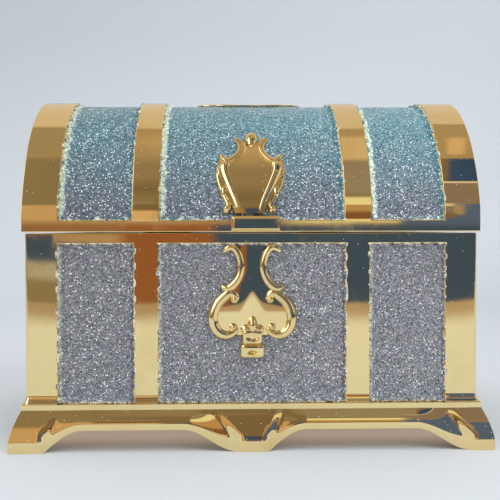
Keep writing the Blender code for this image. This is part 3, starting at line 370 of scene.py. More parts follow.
class Shading:
    """Adds nodes to one node tree."""

    def __init__(self, tree):
        self.tree = tree

    def add(self, kind, settings=(), inputs=(), output=0):
        """A node of that kind with its settings made first, then its inputs set or linked.

        Inputs are a row from the first socket on, or a dictionary from socket to value.
        """
        node = self.tree.nodes.new(kind)
        settings = dict(settings)
        stops = settings.pop("stops", None)
        for name, setting in settings.items():
            setattr(node, name, setting)
        if stops:
            elements = node.color_ramp.elements
            while len(elements) < len(stops):
                elements.new(1.0)
            for element, (place, colour) in zip(elements, stops):
                element.position = place
                element.color = (*colour, 1)
        rows = inputs.items() if isinstance(inputs, dict) else enumerate(inputs)
        for key, value in rows:
            socket = node.inputs[key]
            if isinstance(value, Value):
                self.tree.links.new(value.socket, socket)
            elif isinstance(value, tuple) and len(value) < len(socket.default_value):
                socket.default_value = (*value, 1)
            else:
                socket.default_value = value
        return Value(self, node.outputs[output])

    def mixed(self, factor, one, other, blend="MIX"):
        """Colour one where the factor is 0 and the other where it is 1."""
        settings = {"data_type": "RGBA", "blend_type": blend}
        return self.add("ShaderNodeMix", settings, {0: factor, 6: one, 7: other}, 2)

    def vector(self, operation, *terms):
        return self.add("ShaderNodeVectorMath", {"operation": operation}, terms)

    def scaled(self, vector, factor):
        return self.add("ShaderNodeVectorMath", {"operation": "SCALE"}, {0: vector, 3: factor})

    def object_place(self):
        return self.add("ShaderNodeTexCoord", output="Object")

    def object_normal(self):
        return self.add("ShaderNodeTexCoord", output="Normal")

    def camera_ray(self):
        return self.add("ShaderNodeLightPath", output="Is Camera Ray")

    def parts(self, vector):
        """The three numbers of a vector or colour."""
        node = self.add("ShaderNodeSeparateXYZ", (), [vector]).socket.node
        return [Value(self, socket) for socket in node.outputs]

    def noise(self, place, scale, detail=2.0, rough=0.5):
        """Cloudy noise from 0 to 1, with that many cycles a metre."""
        inputs = {"Vector": place, "Scale": scale, "Detail": detail, "Roughness": rough}
        return self.add("ShaderNodeTexNoise", {}, inputs)

    def cells(self, place, scale, output):
        """Random cells, that many a metre: how far each point is from its cell, or its colour."""
        return self.add("ShaderNodeTexVoronoi", {}, {"Vector": place, "Scale": scale}, output)

    def bump(self, height, depth, normal=None):
        """A normal bent by a height from 0 to 1 that stands for this depth in metres."""
        inputs = {"Height": height, "Distance": depth, "Strength": 1.0}
        if normal is not None:
            inputs["Normal"] = normal
        return self.add("ShaderNodeBump", {}, inputs)


def finish(base, roughness, metallic, normal=None, glow=None, **constants):
    """Joins a finish's values to the Principled shader of its material."""
    tree = base.shading.tree
    shader = tree.nodes["Principled BSDF"]
    varying = {"Base Color": base, "Roughness": roughness, "Metallic": metallic, "Normal": normal}
    varying["Emission Color"] = glow
    for key, value in varying.items():
        if isinstance(value, Value):
            tree.links.new(value.socket, shader.inputs[key])
        elif value is not None:
            shader.inputs[key].default_value = value
    for key, value in constants.items():
        shader.inputs[key.replace("_", " ")].default_value = value


def new_material(name):
    made = bpy.data.materials.new(name)
    made.use_nodes = True
    return made, Shading(made.node_tree)


# Gold plate
GOLD = (0.90, 0.72, 0.36)
GOLD_DEEP = (0.80, 0.58, 0.25)
GOLD_ROUGHNESS = 0.035
CLOUDS_PER_METRE = 90
HAZE_PER_METRE = 260
DUST = (0.92, 0.90, 0.78)
DUST_PER_METRE = 1400
DUST_CELL_SHARE = 0.26
CAST_WAVES_PER_METRE = 55
CAST_WAVE_DEPTH = 0.00001
PEEL_PER_METRE = 700
PEEL_DEPTH = 0.0000006


def gold_plate():
    """Mirror-polished pale gold over a cast skin that is not quite flat, with stray glitter on it."""
    made, shade = new_material("gold_plate")
    place = shade.object_place()
    clouds = shade.noise(place, CLOUDS_PER_METRE, 3.0)
    haze = shade.noise(place, HAZE_PER_METRE, 4.0, 0.6)
    random_red, random_green, _ = shade.parts(shade.cells(place, DUST_PER_METRE, "Color"))
    near = shade.cells(place, DUST_PER_METRE, "Distance")
    share = random_red + (clouds.step(0.42, 0.6) - 1) * 0.15
    chosen = share.step(1 - DUST_CELL_SHARE, 1 - DUST_CELL_SHARE + 0.001)
    speck = chosen * near.step(0.17, 0.10) * random_green.step(0.2, 0.3)
    colour = shade.mixed(clouds.step(0.45, 0.8) * 0.5, GOLD, GOLD_DEEP)
    colour = shade.mixed(speck, colour, DUST)
    roughness = GOLD_ROUGHNESS + haze.step(0.5, 0.85) * 0.05 + speck * 0.3
    wave = shade.noise(place, CAST_WAVES_PER_METRE, 1.0)
    peel = shade.noise(place, PEEL_PER_METRE, 2.0)
    bent = shade.bump(peel, PEEL_DEPTH, shade.bump(wave, CAST_WAVE_DEPTH))
    finish(colour, roughness, 1 - speck * 0.6, bent)
    return made


# Glitter
FLAKES_PER_METRE = 4000
FLAKE_TILT = 0.5
# Painted glints, which glow by emission: their cells a metre and their strength
SPARKS_PER_METRE = 2600
SPARK_GLOW = 0.6
# Scale of the crumbs in the painted highlight along the resin's rim
RIM_HIGHLIGHT_PER_METRE = 1300
DRIFT_PER_METRE = 160
# Cream of the painted rim highlight
RIM_HIGHLIGHT_TONE = (0.86, 0.74, 0.50)
# Tones of the painted glints
COLD_SPARK = (0.75, 0.95, 0.92)
WARM_SPARK = (1.0, 0.93, 0.9)
# The glitter's tones. The painted sheen moves from the low one to the high one: BLUE_GREY to LILAC on the
# body, LOW_TEAL to TEAL on the lid
LILAC = (0.225, 0.205, 0.205)
BLUE_GREY = (0.19, 0.225, 0.255)
TEAL = (0.08, 0.235, 0.29)
LOW_TEAL = (0.135, 0.165, 0.20)
# Tones of the painted edge highlight (PALE_GREEN, PALE_SAGE) and of the painted edge shade (DEEP_TEAL,
# DUSK)
PALE_GREEN = (0.56, 0.72, 0.58)
DEEP_TEAL = (0.03, 0.14, 0.17)
PALE_SAGE = (0.40, 0.45, 0.37)
DUSK = (0.12, 0.11, 0.13)
LILAC_RISE = 0.006


def glitter(name, tones, heights, edge_highlight_and_shade, glow_at, painted_side_light, spark_share):
    """Flakes in clear resin. Each has its own tilt and tint, and a few carry painted glints that glow.

    The tint changes with height, and with how far the resin's skin turns up or to a side, as interference
    flakes do with the angle to the light: a painted sheen. Near the metal, skin turned to +X gets a
    painted highlight and skin turned to -X gets painted shade. These edge tones start where the creep
    reaches glow_at. The whole is painted lighter toward +X, as if lit from the right, and a painted
    highlight runs in crumbs along the resin's rim.
    """
    made, shade = new_material(name)
    right_glow, left_shade = edge_highlight_and_shade
    place = shade.object_place()
    turn_x, _, turn_z = shade.parts(shade.object_normal())
    across, _, height = shade.parts(place)
    creep = shade.add("ShaderNodeAttribute", {"attribute_name": "creep"}, output="Fac")
    flake = shade.cells(place, FLAKES_PER_METRE, "Color")
    red, green, blue = shade.parts(flake)
    # Painted sheen: the tint moves to the high tone toward the top and where the skin turns up, standing
    # in for the flakes' colour shift under the light from above
    rise = height.step(*heights) * 0.45 + turn_z.step(0.2, 0.95) * 0.55
    drift = shade.noise(place, DRIFT_PER_METRE, 3.0)
    base = shade.mixed((rise + drift * 0.5 - 0.25).clamped(), *tones)
    # Painted highlight where the resin's skin near the metal turns to +X, and painted shade where it
    # turns to -X
    near_edge = creep.step(glow_at, glow_at + 0.25)
    base = shade.mixed(turn_x.step(0.02, 0.3) * near_edge * 0.9, base, right_glow)
    base = shade.mixed(turn_x.step(-0.02, -0.3) * near_edge * 0.8, base, left_shade)
    tinted = shade.mixed(0.2, base, flake, "SOFT_LIGHT")
    # Painted light: the flakes grow brighter toward +X, as if lit from the right
    lit = shade.scaled(tinted, (red * 1.4 + 0.3) * (across * painted_side_light + 1))
    # Painted glints: a few chosen flakes turn pale and glow by emission, whatever the lamps do
    spark_red, spark_green, spark_blue = shade.parts(shade.cells(place, SPARKS_PER_METRE, "Color"))
    core = shade.cells(place, SPARKS_PER_METRE, "Distance").step(0.5, 0.28)
    chosen = spark_red.step(1 - spark_share, 1.02 - spark_share)
    spark = chosen * core * (spark_blue ** 2.0 * 0.85 + 0.15)
    pale = shade.mixed(spark_green, COLD_SPARK, WARM_SPARK)
    colour = shade.mixed(spark, lit, pale)
    # Painted highlight: a cream rim, broken into crumbs, along the resin's edge against the metal
    rim_highlight_noise = shade.noise(place, RIM_HIGHLIGHT_PER_METRE, 3.0)
    rim_highlight = (creep + rim_highlight_noise * 0.9 - 0.45).step(0.84, 0.93)
    colour = shade.mixed(rim_highlight, colour, RIM_HIGHLIGHT_TONE)
    centred = shade.vector("SUBTRACT", flake, (0.5, 0.5, 0.5))
    skin = shade.add("ShaderNodeNewGeometry", output="Normal")
    tilted = shade.vector("ADD", skin, shade.scaled(centred, FLAKE_TILT))
    normal = shade.vector("NORMALIZE", tilted)
    glow = shade.scaled(pale, spark * (1 - rim_highlight))
    finish(
        colour, 0.28 + blue * 0.3, green * 0.4, normal, glow,
        Coat_Weight=0.2, Coat_Roughness=0.12, Emission_Strength=SPARK_GLOW,
    )
    return made


# Velvet and steel
LIE_PER_METRE = 120
PILE_PER_METRE = 5200
PILE_DEPTH = 0.00012
MIDNIGHT = (0.010, 0.016, 0.055)
VELVET_BLUE = (0.022, 0.034, 0.10)
PILE_TIPS = (0.035, 0.05, 0.14)
PILE_SHEEN = (0.5, 0.6, 1, 1)
MARKS_PER_METRE = 1800
MARK_STRETCH = 4
MARK_DEPTH = 0.000008
DULL_PER_METRE = 500
BRIGHT_STEEL = (0.56, 0.56, 0.57)
DULL_STEEL = (0.44, 0.43, 0.42)


def velvet():
    """Midnight-blue flock: a rough pile whose lie changes in soft patches."""
    made, shade = new_material("velvet_lining")
    place = shade.object_place()
    lie = shade.noise(place, LIE_PER_METRE, 3.0)
    pile = shade.noise(place, PILE_PER_METRE, 2.0, 0.7)
    colour = shade.mixed(lie.step(0.3, 0.75), MIDNIGHT, VELVET_BLUE)
    colour = shade.mixed(pile.step(0.35, 0.7) * 0.5, colour, PILE_TIPS)
    finish(
        colour, 0.9, 0.0, shade.bump(pile, PILE_DEPTH),
        Sheen_Weight=0.7, Sheen_Roughness=0.35, Sheen_Tint=PILE_SHEEN,
    )
    return made


def steel():
    """Plain bright steel with turning marks and a few dull patches."""
    made, shade = new_material("steel")
    place = shade.object_place()
    x, y, z = shade.parts(place)
    stretched = shade.add("ShaderNodeCombineXYZ", (), [x * MARK_STRETCH, y, z])
    marks = shade.noise(stretched, MARKS_PER_METRE, 3.0)
    dull = shade.noise(place, DULL_PER_METRE, 3.0)
    colour = shade.mixed(dull.step(0.4, 0.7), BRIGHT_STEEL, DULL_STEEL)
    finish(colour, 0.24 + marks.step(0.3, 0.7) * 0.14, 1.0, shade.bump(marks, MARK_DEPTH))
    return made


FINISHES = {
    "gold_plate": gold_plate(),
    "lilac_glitter": glitter(
        "lilac_glitter", (BLUE_GREY, LILAC), (BODY_BASE, BODY_BASE + LILAC_RISE),
        (PALE_SAGE, DUSK), glow_at=0.4, painted_side_light=1.5, spark_share=0.28,
    ),
    "teal_glitter": glitter(
        "teal_glitter", (LOW_TEAL, TEAL), (LID_BASE, LID_TOP),
        (PALE_GREEN, DEEP_TEAL), glow_at=0.0, painted_side_light=4, spark_share=0.42,
    ),
    "velvet_lining": velvet(),
    "steel": steel(),
}


# Meshes from grids


def grid_faces(rows, columns, close_columns=False):
    """Vertex numbers of the quads of a grid, four to a row."""
    last = columns if close_columns else columns - 1
    row, column = np.meshgrid(np.arange(rows - 1), np.arange(last), indexing="ij")
    one = (row * columns + column).ravel()
    two = (row * columns + (column + 1) % columns).ravel()
    return np.stack([one, two, two + columns, one + columns], axis=1)


def turned_outwards(points, faces):
    """Faces of a closed grid, turned over where the volume they enclose comes out negative."""
    a, b, c, d = (points[faces[:, i]] for i in range(4))
    volume = (a * np.cross(b, c)).sum() + (a * np.cross(c, d)).sum()
    return faces if volume > 0 else faces[:, ::-1]


def stitched(name, grids, shells=False):
    """One mesh from grids of points, each (points, closed columns): shared edges are welded,
    faces without area go, and the rest turn outwards, each grid by its own volume where it is a
    shell of its own."""
    points, faces, count = [], [], 0
    for grid, close_columns in grids:
        rows, columns = grid.shape[:2]
        points.append(grid.reshape(rows * columns, -1))
        quads = grid_faces(rows, columns, close_columns)
        faces.append((turned_outwards(points[-1], quads) if shells else quads) + count)
        count += rows * columns
    mesh = bpy.data.meshes.new(name)
    points = np.concatenate(points)
    mesh.from_pydata(points[:, :3].tolist(), [], np.concatenate(faces).tolist())
    if points.shape[1] > 3:
        creep = mesh.attributes.new("creep", "FLOAT", "POINT")
        creep.data.foreach_set("value", points[:, 3].astype(np.float32))
    bm = bmesh.new()
    bm.from_mesh(mesh)
    bmesh.ops.remove_doubles(bm, verts=bm.verts, dist=WELD)
    bmesh.ops.dissolve_degenerate(bm, edges=bm.edges, dist=WELD)
    if not shells:
        bmesh.ops.recalc_face_normals(bm, faces=bm.faces)
    bm.to_mesh(mesh)
    bm.free()
    return mesh


def closed_ends(ring):
    """Rows of points, each a loop, with the first and the last loop drawn together to a point."""
    first = np.broadcast_to(ring[:1].mean(axis=1, keepdims=True), ring[:1].shape)
    last = np.broadcast_to(ring[-1:].mean(axis=1, keepdims=True), ring[-1:].shape)
    return np.concatenate([first, ring, last])


def shown(name, data):
    """A new object in the scene."""
    thing = bpy.data.objects.new(name, data)
    bpy.context.scene.collection.objects.link(thing)
    return thing


def piece(name, grids, node, sharp=CASTING_SHARP, shells=False):
    """A shown piece that stands for this node: it rides on its body in its finish."""
    mesh = stitched(name, grids, shells)
    thing = shown(name, mesh)
    mesh.materials.append(FINISHES[SLOTS[node]])
    mesh.shade_smooth()
    mesh.set_sharp_from_angle(angle=math.radians(sharp))
    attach(thing, BODIES[node])
    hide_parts(node)
    return thing


def rounded(thing, angle=ROUNDED_PAST):
    """Rounds a piece's hard edges."""
    edges = thing.modifiers.new("edges", "BEVEL")
    edges.width = EDGE_ROUND
    edges.segments = ROUND_SEGMENTS
    edges.limit_method = "ANGLE"
    edges.angle_limit = math.radians(angle)
    edges.harden_normals = True


def spread(low, high, step):
    """Places from low to high, evenly, no further apart than the step."""
    return np.linspace(low, high, max(2, math.ceil(abs(high - low) / step) + 1))


def from_ends(places):
    """How far each place is from the nearer end."""
    return np.minimum(places - places[0], places[-1] - places)


def smooth_step(value):
    value = np.clip(value, 0, 1)
    return value * value * (3 - 2 * value)


def placed(x, y, z):
    """Points with these coordinates."""
    return np.stack(np.broadcast_arrays(x, y, z), axis=-1)


def on_wall(side, level, turned, way=1):
    """Puts (across, up, height) on a wall of the body: on the front or the back, or turned to an
    end, at side times (level + way times height) from the middle."""
    def place(across, up, height):
        out = side * (level + way * height)
        return placed(out, across, up) if turned else placed(across, out, up)

    return place


# Castings


SEAT_FOOT = LID_BASE + LID_RAIL
RAIL_FOOT = BODY_TOP - BODY_RAIL
HINGE_Y = BOX_DEPTH / 2 + HINGE_SET_BACK
HINGE_Z = LID_BASE - HINGE_DROP
GROOVE_RADIUS = KNUCKLE_RADIUS + SEAT_GAP
HINGE_REACH = LID_KNUCKLE_WIDTH / 2 + SEAT_GAP + BODY_KNUCKLE_WIDTH
GROOVE_REACH = HINGE_REACH + 2 * SEAT_GAP + PIN_HEAD_LENGTH
HINGE_MIDDLES = (-MID_BAND_MIDDLE, MID_BAND_MIDDLE)
GROOVES = [(middle - GROOVE_REACH, middle + GROOVE_REACH) for middle in HINGE_MIDDLES]


def band_gaps(band, edge):
    """The three intervals between an end band, two middle bands and the other end band."""
    near, far = MID_BAND_MIDDLE - band / 2, MID_BAND_MIDDLE + band / 2
    return [(-edge, -far), (-near, near), (far, edge)]


LID_PANELS = band_gaps(LID_MID_BAND, END_BAND_EDGE)
BODY_PANELS = band_gaps(BODY_MID_BAND, CORNER_BAND_EDGE)
SIDE_PANEL = [(SIDE_CORNER_BAND - BODY_HALF_Y, BODY_HALF_Y - SIDE_CORNER_BAND)]
PANEL_NAMES = ("left", "centre", "right")


def columns(low, high, *interval_sets):
    """Places from low to high, two at each end of an interval, and which lie in each set."""
    edges = {edge for intervals in interval_sets for pair in intervals for edge in pair}
    breaks = np.array(sorted({low, high} | edges))
    middle = (breaks[:-1] + breaks[1:]) / 2
    places = np.stack([breaks[:-1], breaks[1:]], axis=1).ravel()
    flags = []
    for intervals in interval_sets:
        inside = sum(((middle > a) & (middle < b) for a, b in intervals), middle > high)
        flags.append(np.repeat(inside, 2))
    return places, *flags


def grooved(y, z, in_groove):
    """y drawn in to the round groove behind the knuckles: the hinge's axis less the half chord."""
    chord = np.sqrt(np.clip(GROOVE_RADIUS**2 - (z - HINGE_Z) ** 2, 0, None))
    return np.where(in_groove, np.minimum(y, HINGE_Y - chord), y)


def extruded(outline, low, high):
    """A convex (y, z) outline carried along X from low to high, both ends closed to a point."""
    outline = np.array(outline)
    middle = np.broadcast_to(outline.mean(axis=0), outline.shape)
    loops = np.stack([middle, outline, outline, middle])
    x = np.array([low, low, high, high])[:, None]
    return placed(x, loops[..., 0], loops[..., 1]), True


def turned_on_hinge(profile, middle):
    """An (x, radius) profile turned about the hinge's axis."""
    profile = np.array(profile)
    angle = np.linspace(0, 2 * math.pi, TURNED_SIDES, endpoint=False)
    x, radius = profile[:, :1] + middle, profile[:, 1:]
    return placed(x, HINGE_Y + radius * np.cos(angle), HINGE_Z + radius * np.sin(angle)), True


def knuckle(middle, width):
    """A tube on the hinge's axis with chamfered lips."""
    half, lip = width / 2, KNUCKLE_LIP
    bore = PIN_RADIUS + PIN_CLEARANCE
    profile = [
        (-half, bore), (-half, KNUCKLE_RADIUS - lip), (lip - half, KNUCKLE_RADIUS),
        (half - lip, KNUCKLE_RADIUS), (half, KNUCKLE_RADIUS - lip), (half, bore), (-half, bore),
    ]
    return turned_on_hinge(profile, middle)


def stop_pad_top():
    """Where the lid's hinge web lands when the lid is wide open."""
    sin, cos = math.sin(OPENING_LIMIT), math.cos(OPENING_LIMIT)
    up = (KNUCKLE_RADIUS - KNUCKLE_RADIUS * cos) / sin
    return HINGE_Z - KNUCKLE_RADIUS * sin + up * cos - STOP_CLEARANCE


def body_hinge():
    """Knuckles on gussets, and the pads between them that the lid's webs land on."""
    grids = []
    back, outer = BODY_HALF_Y - HINGE_SET_BACK, HINGE_Y + KNUCKLE_RADIUS
    reach = HINGE_REACH - BODY_KNUCKLE_WIDTH / 2
    half = (BODY_KNUCKLE_WIDTH - SEAT_GAP) / 2
    under, top = RAIL_FOOT + SEAT_GAP, BODY_TOP - HINGE_DROP
    gusset = [(back, under), (HINGE_Y, under), (outer - SEAT_GAP, HINGE_Z - KNUCKLE_RADIUS / 2)]
    gusset += [(outer - SEAT_GAP, top), (back, top)]
    pad_top, pad_half = stop_pad_top(), LID_KNUCKLE_WIDTH / 2 - SEAT_GAP
    pad_foot = pad_top - STOP_PAD_HEIGHT
    pad = [(back, pad_foot), (BODY_HALF_Y + STOP_TOE, pad_foot), (outer, pad_top - STOP_TOE)]
    pad += [(outer, pad_top), (back, pad_top)]
    for middle in HINGE_MIDDLES:
        for side in (-1, 1):
            place = middle + side * reach
            grids.append(extruded(gusset, place - half, place + half))
            grids.append(knuckle(place, BODY_KNUCKLE_WIDTH))
        grids.append(extruded(pad, middle - pad_half, middle + pad_half))
    return grids


def wall_frame(side):
    """One of the four walls, from the front round: its half length, its distance from the
    middle, and the directions along it and out of it."""
    half, across = (BODY_HALF_X, BODY_HALF_Y)[:: 1 - 2 * (side % 2)]
    along = np.array([(1, 0), (0, 1), (-1, 0), (0, -1)][side])
    return half, across, along, np.array([along[1], -along[0]])


def body_casting():
    """The open box. Rings of a rounded rectangle follow the profile: bottom, cove, wall, rim,
    inner wall and floor. A point is the nearest point of the rounded rectangle's core plus its
    radius along the normal, less the seats' depth where an inlay goes.
    """
    radius = BODY_CORNER_RADIUS
    quarter = np.linspace(0, math.pi / 2, CORNER_STEPS + 2)[1:-1]
    base, normal, seat, groove = [], [], [], []
    for side in range(4):
        half, across, along, out = wall_frame(side)
        panels = SIDE_PANEL if side % 2 else BODY_PANELS
        grooves = GROOVES if side == 2 else []
        u, in_seat, in_groove = columns(radius - half, half - radius, panels, grooves)
        turn = np.cos(quarter)[:, None] * out + np.sin(quarter)[:, None] * along
        base += [u[:, None] * along + across * out, np.tile(half * along + across * out, (len(turn), 1))]
        normal += [np.tile(out, (u.size, 1)), turn]
        seat += [in_seat, quarter < 0]
        groove += [in_groove, quarter < 0]
    base, normal = np.concatenate(base), np.concatenate(normal)
    seat, groove = np.concatenate(seat), np.concatenate(groove)
    climb = np.linspace(COVE_LIP / COVE_HEIGHT, 1, COVE_STEPS)
    spread_out = COVE_SPREAD * (1 - climb) ** 3
    rail = spread(RAIL_FOOT, BODY_TOP, RAIL_STEP)
    levels = [(BODY_BASE, None, True), (BODY_BASE, COVE_SPREAD, True)]
    levels.append((BODY_BASE + COVE_LIP, COVE_SPREAD, True))
    levels += [(BODY_BASE + c * COVE_HEIGHT, s, True) for c, s in zip(climb, spread_out)]
    levels.append((RAIL_FOOT, 0.0, True))
    levels += [(z, 0.0, False) for z in rail]
    levels += [(BODY_TOP, -WALL, False), (FLOOR_TOP, -WALL, False), (FLOOR_TOP, None, False)]
    z = np.array([level[0] for level in levels])[:, None, None]
    out = np.array([level[1] or 0.0 for level in levels])[:, None, None]
    open_ring = np.array([level[1] is not None for level in levels])[:, None, None]
    sunk = np.array([level[2] for level in levels])[:, None] & seat
    corner = np.maximum(radius + out, INNER_CORNER) * open_ring
    core = (np.array([BODY_HALF_X, BODY_HALF_Y]) + out) * open_ring - corner
    depth = np.where(sunk, INLAY_SEAT + out[..., 0], 0)[..., None] * open_ring
    flat = np.clip(base, -core, core) + (corner - depth) * normal
    y = grooved(flat[..., 1], z[..., 0], groove & (z[..., 0] > RAIL_FOOT) & open_ring[..., 0])
    inner = out[..., 0] < 0
    y = np.where(inner, flat[..., 1], y)
    grids = [(placed(flat[..., 0], y, z[..., 0]), True)] + body_hinge()
    rounded(piece("body_casting", grids, "body_shell"))


def over_dome(foot, share):
    """Stations over the dome, front foot to back foot: the height of each, which is endless on
    the arc, and its share of the arc."""
    rise = np.concatenate([foot, np.full(share.size, np.inf), foot[::-1]])
    return rise, np.concatenate([0 * foot, share, 1 + 0 * foot])


def spring_height(inset):
    """Height at which the upright sides meet the arc, this far inside the lid's skin."""
    return DOME_CENTRE + math.sqrt((DOME_RADIUS - inset) ** 2 - (BOX_DEPTH / 2 - inset) ** 2)


def dome_profile(rise, along, inset, foot=LID_BASE):
    """(y, z) this far inside the lid's skin: upright sides that meet an arc round the dome's
    centre. Nothing is lower than the foot."""
    radius = DOME_RADIUS - inset
    start = np.arccos((BOX_DEPTH / 2 - inset) / radius)
    angle = math.pi - start - (math.pi - 2 * start) * along
    return radius * np.cos(angle), np.clip(rise, foot, DOME_CENTRE + radius * np.sin(angle))


def lid_casting():
    """The barrel lid: the dome's profile carried along X, sunk by the seats' depth where the
    inlays go, a D-shaped frame at each end, the rim, and the same profile again inside."""
    foot = np.append(spread(LID_BASE, SEAT_FOOT, RAIL_STEP), SEAT_FOOT)
    rise, along = over_dome(foot, np.linspace(0, 1, DOME_STEPS + 1))
    seated = from_ends(np.arange(rise.size)) > foot.size - 2
    half, inner = BOX_WIDTH / 2, BOX_WIDTH / 2 - WALL
    x, in_seat, in_groove = columns(-half, half, LID_PANELS, GROOVES)
    x, in_seat, in_groove = x[:, None], in_seat[:, None], in_groove[:, None]
    skin_y, skin_z = dome_profile(rise, along, 0)
    seat_y, seat_z = dome_profile(rise, along, INLAY_SEAT)
    sunk = in_seat & seated
    y, z = np.where(sunk, seat_y, skin_y), np.where(sunk, seat_z, skin_z)
    y = grooved(y, z, in_groove & (along == 1))
    vault_y, vault_z = dome_profile(rise, along, WALL)
    within = np.clip(x, -inner, inner)
    grids = [(placed(x, y, z), False), (placed(within, vault_y, vault_z), False)]
    for end in (0, -1):
        rim_x = np.concatenate([x, within], axis=1)
        rim_y = np.stack([y[:, end], np.full(len(x), vault_y[end])], axis=1)
        grids.append((placed(rim_x, rim_y, LID_BASE), False))
    frame_y, frame_z = dome_profile(rise, along, END_FRAME, SEAT_FOOT)
    middle_z = np.full(rise.size, (SEAT_FOOT + LID_TOP) / 2)
    for side in (-1, 1):
        loop_x = side * np.array([half, half, half - INLAY_SEAT, half - INLAY_SEAT])[:, None]
        loop_y = np.stack([skin_y, frame_y, frame_y, 0 * skin_y])
        loop_z = np.stack([skin_z, frame_z, frame_z, middle_z])
        grids.append((placed(loop_x, loop_y, loop_z), True))
        loop_y, loop_z = np.stack([vault_y, 0 * vault_y]), np.stack([vault_z, middle_z])
        grids.append((placed(side * inner, loop_y, loop_z), True))
        end_x = side * np.array([[half, half], [inner, inner]])
        end_y = np.array([[-1, 1]]) * np.array([[BOX_DEPTH / 2], [BOX_DEPTH / 2 - WALL]])
        grids.append((placed(end_x, end_y, LID_BASE), False))
    back, outer = BOX_DEPTH / 2 - HINGE_SET_BACK, HINGE_Y + KNUCKLE_RADIUS
    web_top = HINGE_Z + LID_WEB_HEIGHT
    web = [(back, HINGE_Z), (outer, HINGE_Z), (outer, web_top - WEB_SLOPE), (back, web_top)]
    web_half = (LID_KNUCKLE_WIDTH - SEAT_GAP) / 2
    for middle in HINGE_MIDDLES:
        grids.append(extruded(web, middle - web_half, middle + web_half))
        grids.append(knuckle(middle, LID_KNUCKLE_WIDTH))
    rounded(piece("lid_casting", grids, "lid_shell"))


def plinth_arches(side):
    """(start, end) of each arch of one side, seen from outside with its steep end at the left."""
    half = (BODY_HALF_Y if side % 2 else BODY_HALF_X) + FOOT_TOE
    left, right = STEEP_CORNER_FOOT - half, half - GENTLE_CORNER_FOOT
    if side % 2:
        return [(left, right)]
    return [(left, -CENTRE_FOOT_LEFT), (CENTRE_FOOT_RIGHT, right)]


def arch_rise(side, u):
    """Height of the bottom edge: a quarter wave up from each arch's left foot, level along its
    middle, and half a wave down to its right foot."""
    rise = 0 * u
    for left, right in plinth_arches(side):
        up = np.sin(math.pi / 2 * np.clip((u - left) / STEEP_RUN, 0, 1))
        down = (1 - np.cos(math.pi * np.clip((right - u) / GENTLE_RUN, 0, 1))) / 2
        rise = np.maximum(rise, ARCH_HEIGHT * np.minimum(up, down))
    return rise


def footness(side, u, z):
    """1 on the feet and 0 on the aprons, with creases that lean away from each foot."""
    climb = np.clip(z - CREASE_RISE, 0, None) / (PLINTH_HEIGHT - FILLET_HEIGHT - CREASE_RISE)
    least = 1 + 0 * (u + z)
    for left, right in plinth_arches(side):
        from_left = u - (left + STEEP_CREASE_SPREAD * climb)
        from_right = (right - GENTLE_CREASE_SPREAD * climb) - u
        inside = np.minimum(from_left, from_right)
        least = np.minimum(least, 1 - smooth_step(inside / CREASE_WIDTH + 0.5))
    return least


def plinth_casting():
    """The flared foot. At each place along a side, the section runs down the fillet, out over
    the flare as 1 - (1 - t) ** power, down the lip, up inside and round the flange. At the
    corners it is clipped to the mitre."""
    t = np.linspace(0, 1, FLARE_STEPS + 1)
    fillet_foot = PLINTH_HEIGHT - FILLET_HEIGHT
    under = PLINTH_HEIGHT - FLANGE_THICKNESS
    flange = COVE_SPREAD - FLANGE_WIDTH
    rows = []
    for side in range(4):
        half, across, along, out = wall_frame(side)
        u = spread(-half - FOOT_TOE, half + FOOT_TOE, PLINTH_STEP)[:-1, None]
        rise = arch_rise(side, u)
        lip = APRON_LIP + (FOOT_LIP - APRON_LIP) * (1 - rise / ARCH_HEIGHT)
        z = fillet_foot + (rise + lip - fillet_foot) * t
        toe = APRON_TOE + (FOOT_TOE - APRON_TOE) * footness(side, u, z)
        flare = COVE_SPREAD + (toe - COVE_SPREAD) * (1 - (1 - t) ** FLARE_POWER)
        one = np.ones_like(u)
        heel = flare[:, -1:] - PLINTH_WALL
        offset = [COVE_SPREAD * one, flare, flare[:, -1:], heel]
        offset += [np.minimum(flare[:, ::-2] - PLINTH_WALL, heel)]
        offset += [(COVE_SPREAD - PLINTH_WALL) * one, flange * one, flange * one]
        height = [PLINTH_TOP * one, z, rise, rise]
        height += [np.minimum(z[:, ::-2], under), under * one, under * one, PLINTH_TOP * one]
        offset, height = np.concatenate(offset, axis=1), np.concatenate(height, axis=1)
        run = np.clip(u, -half - offset, half + offset)
        flat = run[..., None] * along + (across + offset)[..., None] * out
        rows.append(placed(flat[..., 0], flat[..., 1], height))
    grids = [(np.concatenate(rows + [rows[0][:1]]), True)]
    ear = EAR_SIZE - SEAT_GAP
    for sx in (-1, 1):
        for sy in (-1, 1):
            y = np.sort(sy * np.array([BODY_HALF_Y, BODY_HALF_Y - ear]))
            x = np.sort(sx * np.array([BODY_HALF_X, BODY_HALF_X - ear]))
            corners = [(y[0], under), (y[1], under), (y[1], PLINTH_HEIGHT), (y[0], PLINTH_HEIGHT)]
            grids.append(extruded(corners, x[0], x[1]))
    rounded(piece("plinth_casting", grids, "plinth", PLINTH_SHARP), PLINTH_SHARP)


# Glitter inlays


def hills(u, v, period, seed):
    """Smooth random hills between -1 and 1: waves of about this period, each its own way."""
    draw = np.random.default_rng(seed)
    total = 0
    for turn, stretch, phase in zip(*(draw.random(HILL_WAVES) for _ in range(3))):
        way = 2 * math.pi * turn
        wave = 2 * math.pi * (0.6 + 0.8 * stretch) / period
        total = total + np.sin(wave * (u * np.cos(way) + v * np.sin(way)) + 2 * math.pi * phase)
    return total / HILL_WAVES


def lapping(u, v, seed, fill):
    """How fully the resin laps over the bands, 0 to 1, in patches that grow with the fill."""
    return np.clip(fill + 1.5 * hills(u, v, LAP_PERIOD, seed + 4), 0, 1)


